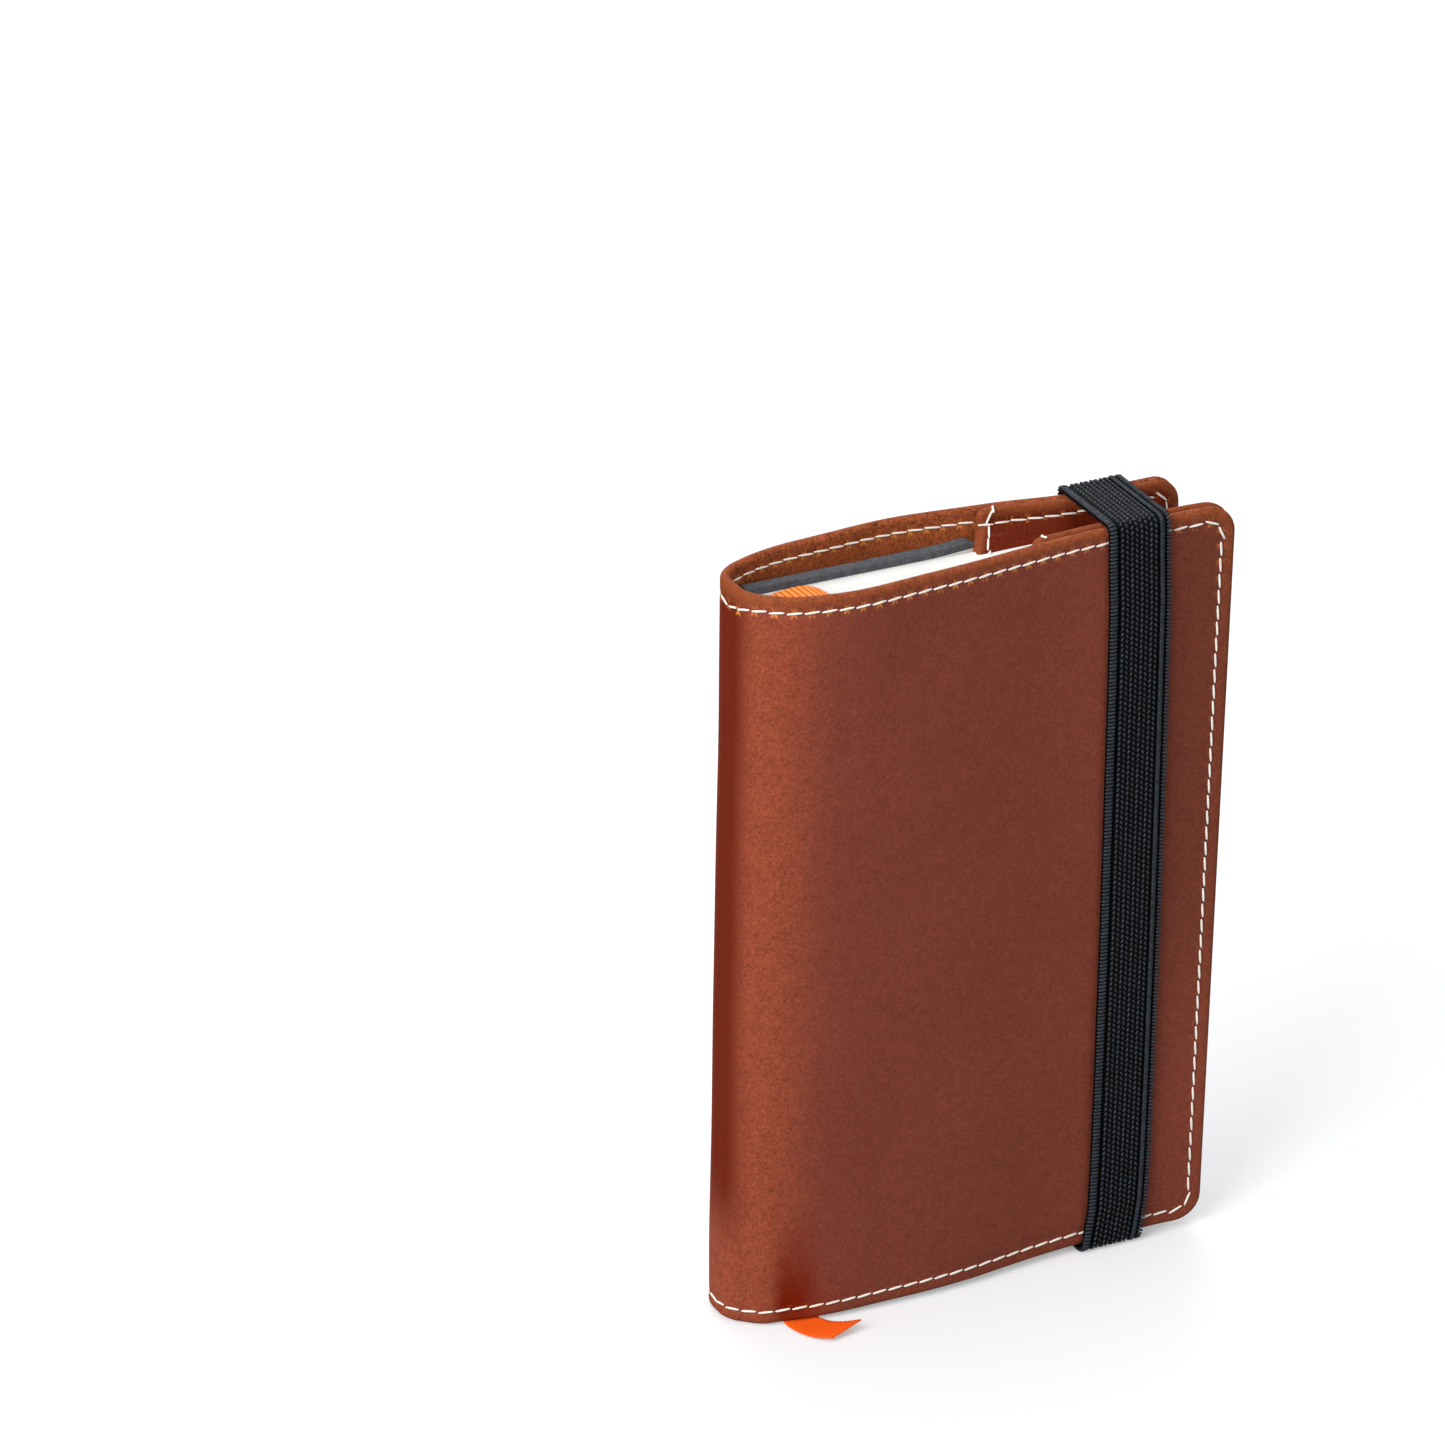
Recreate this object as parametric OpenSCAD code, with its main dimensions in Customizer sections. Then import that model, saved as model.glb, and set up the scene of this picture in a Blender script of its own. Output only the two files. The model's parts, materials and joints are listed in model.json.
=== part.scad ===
// Leather slip-on cover for a pocket notebook, with its elastic closure, the
// hardback notebook that it holds and the notebook's ribbon.
// It stands closed on its foot, z up. In plan, u runs from the nose of the
// spine to the fore-edge and v runs across the thickness, from the front
// cover at negative v to the back cover at positive v.

/* [Notebook] */
// Width, from the back of the spine strip to the edge of the front board
notebook_w = 90.5; // [80:0.5:105]
// Height of the boards
notebook_h = 138; // [110:0.5:180]
// Thickness of all the pages together, pressed
pages_t = 7; // [5:0.5:12]
// Thickness of one board
board_t = 1.8; // [1.2:0.1:2.6]
// Thickness of the paper glued inside a board
endpaper_t = 0.15; // [0.1:0.05:0.3]
// How far a board stands past the pages
board_overhang = 1.5; // [1:0.1:3]
// Corner radius of the boards at the fore-edge
board_corner_r = 5; // [2:0.5:8]
// Thickness of the stiff strip at the back of the notebook
spine_strip_t = 0.8; // [0.5:0.1:1.2]
// How far the back board lies nearer the spine than the front board
board_stagger = 3; // [0:0.5:4]

/* [Leather] */
// Thickness of the outer hide
leather_t = 1.3; // [1:0.1:1.8]
// Thickness of the edge where it is turned in
turned_t = 0.8; // [0.7:0.1:1.6]
// Thickness of the turned edge where it is pared down over the boards
pared_t = 0.6; // [0.4:0.1:0.9]
// Width of the turned edge
turned_w = 8.5; // [7:0.5:12]
// Thickness of the pocket leather
pocket_t = 0.9; // [0.6:0.1:1.4]
// Depth of each pocket, from its free edge to its cover's fore-edge
pocket_depth = 41; // [30:1:50]
// Leather past the boards at the top
top_margin = 4.5; // [3.9:0.1:8]
// Leather past the front board at the fore-edge
fore_margin = 5; // [4.2:0.1:8]
// Corner radius of the cover at the fore-edge
cover_corner_r = 6.5; // [5:0.5:10]
// Distance of the seam from the edge
seam_margin = 2.8; // [2.4:0.1:3.6]
// Width of the sewing thread
thread_w = 0.5; // [0.3:0.1:0.8]
// How far the thread stands out of the leather
thread_out = 0.2; // [0.1:0.05:0.3]

/* [Closed shape] */
// Half of the distance between the two folds
fold_half = 7.6; // [7:0.1:9]
// How far the spine bows out past the folds
spine_bow = 3.95; // [3.5:0.05:5]
// Half thickness where the cover is fattest, at the middle of the hide
bulge_half = 11.5; // [10:0.1:14]
// Distance of the fattest place from the nose
bulge_u = 29; // [22:1:34]
// How much the fore-edge springs open past the pressed place, each side
fore_flare = 1.05; // [0.4:0.05:2]
// Height of the foot's lift at the fore-edge, where the elastic passes under
foot_lift = 1.6; // [1.5:0.05:2]

/* [Elastic] */
// Width of the elastic
band_w = 12.4; // [10:0.2:16]
// Thickness of the elastic
band_t = 1.2; // [0.8:0.05:1.25]
// Distance from the fore-edge of the front cover to the elastic's middle
band_inset = 19; // [16:0.5:24]
// How far the elastic leans from bottom to top, towards the spine
band_lean = 2.8; // [0:0.2:4]
// Length of the elastic's end on the back, from the edge to its slit
band_end = 12; // [10:0.5:20]

/* [Ribbon] */
// Width of the ribbon
ribbon_w = 6.5; // [4:0.5:8]
// Thickness of the ribbon
ribbon_t = 0.3; // [0.2:0.05:0.35]
// Distance from the nose to the ribbon's near edge
ribbon_u = 12; // [11:0.5:20]
// Height of the loop over the head of the pages
ribbon_loop_h = 1.75; // [1:0.25:4]
// Length of the loop over the head of the pages
ribbon_loop_l = 10.5; // [8:0.5:14]
// How far the ribbon's tail lies out past the front cover
tail_out = 8.6; // [4:0.2:20]
// How far the tail turns towards the fore-edge
tail_turn = 5.6; // [0:0.2:10]

/* [Hidden] */
$fn = 48;

// clearances
snug = 0.05;            // between layers that are pressed together
fold_clear = 0.3;       // between the bead of a fold and the panel beyond it
band_clear = 0.35;      // from the leather's face to the elastic over it
edge_clear = 0.15;      // from the leather's top edge to the elastic over it
past = 1;               // how far a cutting body reaches past what it cuts
fold_bare = 1;          // width next to a fold that the spine's seam leaves free
strip_inset = 2.6;      // from a fold to the stiff strip's edge
press_shift = 1.5;      // the flattest place lies past the elastic, away from the spine
hinge_room = 0.6;       // from a fold to the pages
board_room = 0.9;       // from a fold to the back board
tail_room = 6.4;        // from a fold to where the bottom edge clears the ribbon's tail
rim_past = 1;           // full thickness of the turned edge past the seam
rim_clear = 0.1;        // from the thick rim to the boards
loop_shift = 0.3;       // how far the ribbon's loop lies to the front
tail_cut = 0.35;        // where the tail's slanted end starts, as a share of its reach

// layers, counted out from the middle plane
page_in = ribbon_t / 2 + snug;
page_out = page_in + pages_t / 2;
pocket_in = page_out + snug;
board_in_pressed = pocket_in + pocket_t + snug;
press_half = board_in_pressed + endpaper_t + board_t + snug + pared_t + leather_t / 2;
press_face = press_half + leather_t / 2;
fore_half = press_half + fore_flare;
end_face = press_face + thread_out + snug;

// widths, counted from the nose
strip_seat = leather_t + pared_t + 2 * snug;
front_board_edge = strip_seat + notebook_w;
cover_w = front_board_edge + fore_margin;
back_board_edge = front_board_edge - board_stagger;
back_edge = cover_w - board_stagger;
fold_u = leather_t / 2 + spine_bow;
fold_gap = leather_t / 2 + fold_clear;
panel_start = fold_u + sqrt(pow(fold_gap, 2) - pow(leather_t / 2, 2));
pages_start = fold_u + hinge_room;
back_board_start = fold_u + board_room;
front_board_start = back_board_start + board_stagger;
pocket_start = back_edge - pocket_depth; // the back one starts nearer the spine
board_ramp = 12;        // length over which a board leans out to its pocket
band_u = cover_w - band_inset;
press_from = band_u - band_w / 2 + press_shift;
press_to = band_u + band_w / 2 + press_shift;

// heights
rim_w = seam_margin + rim_past;
foot = foot_lift + rim_w + rim_clear;
board_top = foot + notebook_h;
cover_h = board_top + top_margin;
pages_bottom = foot + board_overhang;
pages_top = board_top - board_overhang;
lift_near = 0.55;       // the edge clears the ribbon's tail from here on
lift_near_u = fold_u + tail_room;
band_top = cover_h + edge_clear + band_t;

// the frame stands in the middle of the part's footprint
reach_back = bulge_half + leather_t / 2 + thread_out;
reach_front = bulge_half + leather_t / 2 + tail_out;
frame_u = (cover_w - thread_out) / 2;
frame_v = (reach_back - reach_front) / 2;

// facets of the curved walls
panel_steps = 28;
spine_steps = 24;
far = 60;
tiny = 0.01;

function mix(a, b, s) = a + (b - a) * s;
function ease(s) = let (c = max(0, min(1, s))) c * c * (3 - 2 * c);
function turned_left(p) = [-p[1], p[0]] / norm(p);

// height of the bottom edge over the floor
function lift(u) = lookup(u, [
    [fold_u, 0], [lift_near_u, lift_near], [cover_w, foot_lift]
]);

// half thickness of the closed cover, at the middle of the hide
function cover_half(u) =
    u < bulge_u
        ? mix(fold_half, bulge_half, 1 - pow(1 - (u - fold_u) / (bulge_u - fold_u), 3))
    : u < press_from
        ? mix(press_half, bulge_half, (1 + cos(180 * (u - bulge_u) / (press_from - bulge_u))) / 2)
    : u < press_to
        ? press_half
    : mix(press_half, fore_half, pow((u - press_to) / (cover_w - press_to), 2));

// a point of a cover panel, d out from the middle of the hide
function panel_point(u, d) =
    [u, cover_half(u)]
    + d * turned_left([2 * tiny, cover_half(u + tiny) - cover_half(u - tiny)]);

// a point of the spine, d out from the middle of the hide
function spine_depth(v) = fold_u - spine_bow * (1 - pow(abs(v) / fold_half, 3.4));
function spine_point(v, d) =
    [spine_depth(v), v]
    + d * turned_left([spine_depth(v + tiny) - spine_depth(v - tiny), 2 * tiny]);

// inner face of a board with its endpaper: close to the pages near the
// spine, and out past the pocket leather where the pocket starts
function board_in(u) =
    page_out + snug
    + (pocket_t + snug) * ease((u - pocket_start + board_ramp) / board_ramp);

panel_us = [for (i = [0:panel_steps])
    mix(panel_start, cover_w + past, pow(i / panel_steps, 1.2))];
spine_vs = [for (i = [0:spine_steps]) fold_half * sin(mix(-90, 90, i / spine_steps))];

// closed outline between two lines of points
function ribbon_outline(near, away) =
    concat(near, [for (i = [len(away) - 1:-1:0]) away[i]]);

module at_frame() {
    translate([-frame_u, -frame_v, 0]) children();
}

module front_side() {
    mirror([0, 1, 0]) children();
}

// a drawing in u and z, made a prism from v0 to v1
module upright(v0 = -far, v1 = far) {
    translate([0, v1, 0]) rotate([90, 0, 0]) linear_extrude(v1 - v0) children();
}

// outline of a panel in u and z, drawn in from its edges
module panel_outline(edge_u, inset = 0) {
    r = cover_corner_r - inset;
    right = edge_u - inset;
    low = lift(edge_u) + inset;
    high = cover_h - inset;
    difference() {
        polygon([
            [0, inset], [fold_u, inset], [lift_near_u, lift_near + inset],
            [right, low], [right, high], [0, high]
        ]);
        if (r > 0) {
            corner_waste(right, low, r, 1);
            corner_waste(right, high, r, -1);
        }
    }
}

// what a round corner takes off at the fore-edge; way is 1 at the bottom
module corner_waste(u, z, r, way) {
    difference() {
        translate([u - r, way > 0 ? z - past : z - r]) square([r + past, r + past]);
        translate([u - r, z + way * r]) circle(r);
    }
}

// outline of a board or of the pages
module sheet_outline(from_u, to_u, low, high, r) {
    difference() {
        translate([from_u, low]) square([to_u - from_u, high - low]);
        corner_waste(to_u, low, r, 1);
        corner_waste(to_u, high, r, -1);
    }
}

// a layer of a cover panel between two distances from the hide's middle,
// cut to the outline that is its child
module panel_layer(d0, d1) {
    intersection() {
        linear_extrude(cover_h) polygon(ribbon_outline(
            [for (u = panel_us) panel_point(u, d0)],
            [for (u = panel_us) panel_point(u, d1)]
        ));
        upright() children();
    }
}

// a layer of the spine, between two heights
module spine_layer(d0, d1, low, high) {
    translate([0, 0, low]) linear_extrude(high - low) polygon(ribbon_outline(
        [for (v = spine_vs) spine_point(v, d0)],
        [for (v = spine_vs) spine_point(v, d1)]
    ));
}

module panel_leather(edge_u) {
    difference() {
        panel_layer(-leather_t / 2, leather_t / 2) panel_outline(edge_u);
        translate([fold_u, fold_half, -past]) cylinder(h = cover_h + 2 * past, r = fold_gap);
    }
}

// the hide's edge, turned in at top, bottom and fore-edge and pared thin
// where it lies over the board
module panel_turned_edge(edge_u) {
    for (strip = [[turned_t, rim_w], [pared_t, turned_w]])
        panel_layer(-leather_t / 2 - strip[0], -leather_t / 2) difference() {
            panel_outline(edge_u);
            panel_outline(edge_u, strip[1]);
        }
}

// pocket: a leaf that lies on the pages' side of the board, a step out
// around the board, and a border sewn to the turned edge
module panel_pocket(edge_u, board_edge) {
    border_face = leather_t / 2 + turned_t;
    free_u = edge_u - pocket_depth;
    inner_u = board_edge + snug;
    low = foot - snug;
    high = board_top + snug;
    upright(pocket_in, pocket_in + pocket_t)
        translate([free_u, low - pocket_t])
            square([inner_u + pocket_t - free_u, high - low + 2 * pocket_t]);
    intersection() {
        linear_extrude(cover_h) polygon(ribbon_outline(
            [for (u = panel_us) [u, pocket_in]],
            [for (u = panel_us) panel_point(u, -border_face)]
        ));
        upright() difference() {
            translate([free_u, low - pocket_t])
                square([inner_u + pocket_t - free_u, high - low + 2 * pocket_t]);
            translate([free_u - past, low])
                square([inner_u - free_u + past, high - low]);
        }
    }
    panel_layer(-border_face - pocket_t, -border_face) intersection() {
        panel_outline(edge_u);
        difference() {
            translate([free_u, 0]) square([cover_w, cover_h]);
            translate([free_u - past, low - tiny])
                square([inner_u - free_u + past, high - low + 2 * tiny]);
        }
    }
}

// seam along the top, the fore-edge and the bottom of a panel
module panel_thread(edge_u) {
    panel_layer(leather_t / 2, leather_t / 2 + thread_out) difference() {
        panel_outline(edge_u, seam_margin - thread_w / 2);
        panel_outline(edge_u, seam_margin + thread_w / 2);
        square([panel_start + fold_bare, cover_h]);
    }
}

// a sheet that lies along the board's curve, between two distances out
// from the board's inner face, set in from the board's outline
module board_layer(from_u, board_edge, inset, d0, d1) {
    us = [for (i = [0:panel_steps]) mix(from_u, board_edge, i / panel_steps)];
    intersection() {
        linear_extrude(cover_h) polygon(ribbon_outline(
            [for (u = us) [u, board_in(u) + d0]],
            [for (u = us) [u, board_in(u) + d1]]
        ));
        upright() sheet_outline(from_u, board_edge - inset,
            foot + inset, board_top - inset, board_corner_r);
    }
}

module half_pages(board_edge) {
    upright(page_in, page_out) sheet_outline(
        pages_start, board_edge - board_overhang,
        pages_bottom, pages_top, board_corner_r - board_overhang / 2
    );
}

// one end of the elastic: down the back from the edge, then into its slit;
// way is 1 when it hangs from the top edge and -1 when it rises from the foot
module elastic_end(way) {
    middle = band_u - way * band_lean / 2;
    edge_z = way > 0 ? band_top : 0;
    slit_z = way > 0 ? cover_h - band_end : foot_lift + band_end;
    translate([middle - band_w / 2, end_face, min(edge_z, slit_z)])
        cube([band_w, band_t, abs(edge_z - slit_z)]);
    translate([middle - band_w / 2, press_half - leather_t / 2 + snug,
            way > 0 ? slit_z : slit_z - band_t])
        cube([band_w, end_face + tiny - press_half + leather_t / 2 - snug, band_t]);
}

module elastic_slit(way) {
    middle = band_u - way * band_lean / 2;
    slit_z = way > 0 ? cover_h - band_end : foot_lift + band_end - band_t;
    translate([middle - band_w / 2 - snug, press_half - leather_t, slit_z - snug])
        cube([band_w + 2 * snug, 2 * leather_t, band_t + 2 * snug]);
}

module elastic_leg(way) {
    middle = band_u - way * band_lean / 2;
    near = press_face + band_clear;
    translate([middle - band_w / 2, -near, way > 0 ? cover_h + edge_clear : 0])
        cube([band_w, near + end_face - edge_clear, band_t]);
}

module back_leather() color("saddlebrown") at_frame() difference() {
    panel_leather(back_edge);
    elastic_slit(1);
    elastic_slit(-1);
}

module back_turned_edge() color("peru") at_frame() panel_turned_edge(back_edge);

module back_pocket() color("sienna") at_frame() panel_pocket(back_edge, back_board_edge);

module back_thread() color("oldlace") at_frame() panel_thread(back_edge);

module back_board() color("dimgray") at_frame()
    board_layer(back_board_start, back_board_edge, 0, endpaper_t, endpaper_t + board_t);

module back_endpaper() color("whitesmoke") at_frame()
    board_layer(back_board_start, back_board_edge, board_overhang, 0, endpaper_t);

module back_pages() color("white") at_frame() half_pages(back_board_edge);

module spine_leather() color("chocolate") at_frame() {
    spine_layer(-leather_t / 2, leather_t / 2, 0, cover_h);
    for (side = [-1, 1])
        translate([fold_u, side * fold_half, 0])
            cylinder(h = cover_h, r = leather_t / 2);
}

module spine_turned_edges() color("peru") at_frame() {
    for (strip = [[turned_t, rim_w], [pared_t, turned_w]], low = [0, cover_h - strip[1]])
        spine_layer(-leather_t / 2 - strip[0], -leather_t / 2, low, low + strip[1]);
}

module spine_thread() color("oldlace") at_frame() intersection() {
    for (z = [seam_margin, cover_h - seam_margin])
        spine_layer(leather_t / 2, leather_t / 2 + thread_out, z - thread_w / 2, z + thread_w / 2);
    translate([-far, fold_bare - fold_half, 0])
        cube([2 * far, 2 * (fold_half - fold_bare), cover_h]);
}

module notebook_spine() color("dimgray") at_frame() {
    out = leather_t / 2 + pared_t + 2 * snug;
    half = fold_half - strip_inset;
    vs = [for (i = [0:spine_steps]) mix(-half, half, i / spine_steps)];
    translate([0, 0, foot]) linear_extrude(notebook_h) polygon(ribbon_outline(
        [for (v = vs) spine_point(v, -out)],
        [for (v = vs) spine_point(v, -out - spine_strip_t)]
    ));
}

module front_leather() color("saddlebrown") at_frame() front_side()
    panel_leather(cover_w);

module front_turned_edge() color("peru") at_frame() front_side()
    panel_turned_edge(cover_w);

module front_pocket() color("sienna") at_frame() front_side()
    panel_pocket(cover_w, front_board_edge);

module front_thread() color("oldlace") at_frame() front_side()
    panel_thread(cover_w);

module front_board() color("dimgray") at_frame() front_side()
    board_layer(front_board_start, front_board_edge, 0, endpaper_t, endpaper_t + board_t);

module front_endpaper() color("whitesmoke") at_frame() front_side()
    board_layer(front_board_start, front_board_edge, board_overhang, 0, endpaper_t);

module front_pages() color("white") at_frame() front_side()
    half_pages(front_board_edge);

module elastic_front_run() color("#26282b") at_frame() {
    out = press_face + band_clear;
    low_u = band_u + band_lean / 2 - band_w / 2;
    high_u = low_u - band_lean;
    upright(-out - band_t, -out) polygon([
        [low_u, 0], [low_u + band_w, 0],
        [high_u + band_w, band_top], [high_u, band_top]
    ]);
}

module elastic_top_leg() color("#26282b") at_frame() elastic_leg(1);

module elastic_bottom_leg() color("#26282b") at_frame() elastic_leg(-1);

module elastic_top_end() color("#26282b") at_frame() elastic_end(1);

module elastic_bottom_end() color("#26282b") at_frame() elastic_end(-1);

// the ribbon bows over the head of the pages, across both halves
module ribbon_loop() color("darkorange") at_frame() {
    middle = ribbon_u + ribbon_w / 2;
    half = ribbon_loop_l / 2;
    arc = [for (a = [0:12:180]) [cos(a), sin(a)]];
    translate([0, -loop_shift, pages_top + snug]) upright(-ribbon_w / 2, ribbon_w / 2)
        polygon(ribbon_outline(
            [for (p = arc) [middle + half * p[0], ribbon_loop_h * p[1]]],
            [for (p = arc) [middle + (half - ribbon_t) * p[0], (ribbon_loop_h - ribbon_t) * p[1]]]
        ));
}

module ribbon_body() color("darkorange") at_frame()
    translate([ribbon_u, -ribbon_t / 2, pages_bottom])
        cube([ribbon_w, ribbon_t, pages_top - pages_bottom]);

// the tail drops from the foot of the pages and lies forward on the floor
module ribbon_tail() color("darkorange") at_frame() {
    face = bulge_half + leather_t / 2;
    translate([ribbon_u, -ribbon_t / 2, snug])
        cube([ribbon_w, ribbon_t, pages_bottom - snug]);
    translate([0, 0, snug]) linear_extrude(ribbon_t) polygon([
        [ribbon_u, 0], [ribbon_u + ribbon_w, 0],
        [ribbon_u + ribbon_w, -face],
        [ribbon_u + ribbon_w + tail_turn, -face - tail_out * tail_cut],
        [ribbon_u + tail_turn, -face - tail_out],
        [ribbon_u, -face]
    ]);
}

back_leather();
back_turned_edge();
back_pocket();
back_thread();
back_board();
back_endpaper();
back_pages();
spine_leather();
spine_turned_edges();
spine_thread();
notebook_spine();
front_leather();
front_turned_edge();
front_pocket();
front_thread();
front_board();
front_endpaper();
front_pages();
elastic_front_run();
elastic_top_leg();
elastic_bottom_leg();
elastic_top_end();
elastic_bottom_end();
ribbon_loop();
ribbon_body();
ribbon_tail();
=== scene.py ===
"""Looks of the leather notebook cover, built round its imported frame.

Lengths inside the shape code are in millimetres, counted as the part's source
counts them: u from the nose of the spine to the fore-edge, v across the
thickness with the front at negative v, z up from the floor. On a leaf, s runs
from its near end, q in from its edge and d out from the middle of the hide.
"""
import json
import math
from functools import cache

import bmesh
import bpy
import numpy as np
from mathutils import Euler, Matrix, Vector, noise

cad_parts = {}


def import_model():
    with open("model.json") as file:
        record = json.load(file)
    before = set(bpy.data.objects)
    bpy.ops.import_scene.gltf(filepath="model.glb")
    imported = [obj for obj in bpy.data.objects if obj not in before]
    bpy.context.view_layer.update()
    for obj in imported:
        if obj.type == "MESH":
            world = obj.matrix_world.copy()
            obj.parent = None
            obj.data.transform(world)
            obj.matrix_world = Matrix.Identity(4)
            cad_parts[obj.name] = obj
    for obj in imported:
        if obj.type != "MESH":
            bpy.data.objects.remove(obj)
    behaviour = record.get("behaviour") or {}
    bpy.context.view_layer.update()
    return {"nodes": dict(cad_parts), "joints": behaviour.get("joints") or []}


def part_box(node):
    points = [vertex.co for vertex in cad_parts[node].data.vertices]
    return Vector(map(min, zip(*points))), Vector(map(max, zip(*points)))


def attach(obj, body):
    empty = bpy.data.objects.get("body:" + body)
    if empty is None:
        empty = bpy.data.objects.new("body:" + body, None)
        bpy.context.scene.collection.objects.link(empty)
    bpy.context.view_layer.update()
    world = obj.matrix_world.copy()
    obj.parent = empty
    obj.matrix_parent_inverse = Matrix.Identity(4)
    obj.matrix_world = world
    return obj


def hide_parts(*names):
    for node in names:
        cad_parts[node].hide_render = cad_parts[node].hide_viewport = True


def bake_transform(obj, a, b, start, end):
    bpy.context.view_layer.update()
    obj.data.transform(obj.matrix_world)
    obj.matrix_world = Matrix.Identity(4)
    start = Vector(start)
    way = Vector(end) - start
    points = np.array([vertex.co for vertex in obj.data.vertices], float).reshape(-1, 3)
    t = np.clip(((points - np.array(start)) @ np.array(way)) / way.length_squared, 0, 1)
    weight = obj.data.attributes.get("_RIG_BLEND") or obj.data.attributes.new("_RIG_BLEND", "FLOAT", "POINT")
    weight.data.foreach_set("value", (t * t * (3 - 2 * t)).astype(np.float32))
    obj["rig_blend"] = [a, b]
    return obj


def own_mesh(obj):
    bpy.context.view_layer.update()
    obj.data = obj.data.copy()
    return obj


bl_info = {
    "name": "Leather Notebook Cover",
    "version": (1, 0, 0),
    "blender": (4, 5, 0),
    "location": "View3D > Sidebar > Cover",
    "description": "Builds a leather notebook cover with its notebook and elastic",
    "category": "Add Mesh",
}

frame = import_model()

MM = 0.001
TURN = 2 * math.pi

# the frame's origin in plan: the spine's nose is at u 0, the ribbon in the pages at v 0
FRAME_U = round(-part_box("spine_leather")[0].x / MM, 2)
FRAME_V = round(-sum(corner.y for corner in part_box("ribbon_body")) / 2 / MM, 2)


def cad(node):
    """Lowest and highest (u, v, z) of a CAD node."""
    return [(round(corner.x / MM + FRAME_U, 2), round(corner.y / MM + FRAME_V, 2),
             round(corner.z / MM, 2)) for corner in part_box(node)]


# the hide
HALF_HIDE = 0.65
HALF_RIM, RIM_MIDDLE = 0.95, -0.3       # the rolled edge, thickened to the inside
CORNER_R, TURNED_W, SEAM = 5.3, 8.5, 2.8
SAG = 0.6                               # how far the soft cover stands below its full height
COVER_W = cad("front_leather")[1][0]
COVER_H = cad("front_leather")[1][2] - SAG
POCKET_HALF = 0.45

# the closed cover in plan: half widths at places along u
fold = next(joint for joint in frame["joints"] if joint["name"] == "cover_fold")
FOLD_U = round(fold["pos_m"][0] / MM + FRAME_U, 2)
FOLD_HALF = round(fold["pos_m"][1] / MM + FRAME_V, 2)
BOW, BOW_POWER = FOLD_U - HALF_HIDE, 3.4
BULGE_U, BULGE_HALF = 29.0, cad("back_leather")[1][1] - HALF_HIDE
BAND_W = 12.4
BAND_U = sum(corner[0] for corner in cad("elastic_front_run")) / 2
PRESS_SHIFT = 1.5                       # the flattest place lies past the elastic
PRESS_FROM, PRESS_TO = (BAND_U + PRESS_SHIFT + way * BAND_W / 2 for way in (-1, 1))
PRESS_HALF = cad("back_leather")[0][1] + HALF_HIDE
FORE_HALF = PRESS_HALF + 1.05
# how far the bottom edge is lifted along u
LIFT_U, LIFT_Z = (FOLD_U, FOLD_U + 6.4, COVER_W), (0.0, 0.55, 1.6)

# how the soft cover stands
BACK_SPLAY, FRONT_TILT, FRONT_TUCK, FRONT_LEAN = 1.5, 1.1, 1.7, 1.45
WAVE_HEIGHT, WAVE_ALONG, WAVE_UP, WAVE_SLICE = 0.22, 0.045, 0.03, 3.1

# the notebook
(_, _, FOOT), (_, _, BOARD_TOP) = cad("back_board")
(_, _, PAGE_LOW), (_, PAGE_OUT, PAGE_TOP) = cad("back_pages")
BOARD_HALF, BOARD_R, STRIP_INSET = 1.15, 5.0, 2.6
(RIBBON_NEAR, _, _), (RIBBON_FAR, _, _) = cad("ribbon_body")
RIBBON_HALF = 0.15


def ease(x, start, over):
    """0 up to start and 1 from start + over on, smooth between them."""
    t = np.clip((np.asarray(x) - start) / over, 0.0, 1.0)
    return t * t * (3 - 2 * t)


def unit(rows):
    return rows / np.linalg.norm(rows, axis=-1, keepdims=True)


def run_along(line):
    """Length along a plane line at each of its points."""
    return np.concatenate([[0], np.cumsum(np.hypot(*np.diff(line, axis=0).T))])


def world(u, v, z):
    """Points in metres, in the frame."""
    u, v, z = np.broadcast_arrays(
        np.asarray(u, float), np.asarray(v, float), np.asarray(z, float))
    return np.stack([u - FRAME_U, v - FRAME_V, z], -1) * MM


def plan(u, v, z=74.0):
    """One point in metres, as the frame's calls take it."""
    return tuple(float(c) for c in world(u, v, z))


def cover_half(u):
    """Half width of the closed cover, to the middle of the hide."""
    rise = FOLD_HALF + (BULGE_HALF - FOLD_HALF) * (
        1 - (1 - (u - FOLD_U) / (BULGE_U - FOLD_U)) ** 3)
    fall = PRESS_HALF + (BULGE_HALF - PRESS_HALF) * 0.5 * (
        1 + np.cos(np.pi * (u - BULGE_U) / (PRESS_FROM - BULGE_U)))
    flare = PRESS_HALF + (FORE_HALF - PRESS_HALF) * (
        (u - PRESS_TO) / (COVER_W - PRESS_TO)) ** 2
    return np.where(u < BULGE_U, rise, np.where(
        u < PRESS_FROM, fall, np.where(u < PRESS_TO, PRESS_HALF, flare)))


def spine_depth(v):
    return FOLD_U - BOW * (1 - (np.abs(v) / FOLD_HALF) ** BOW_POWER)


def lifted(half, s, z):
    """Heights above the floor: the bottom edge is lifted, and the top stays."""
    return z + np.interp(half.plan_u(s), LIFT_U, LIFT_Z) * (1 - z / COVER_H)


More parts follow.
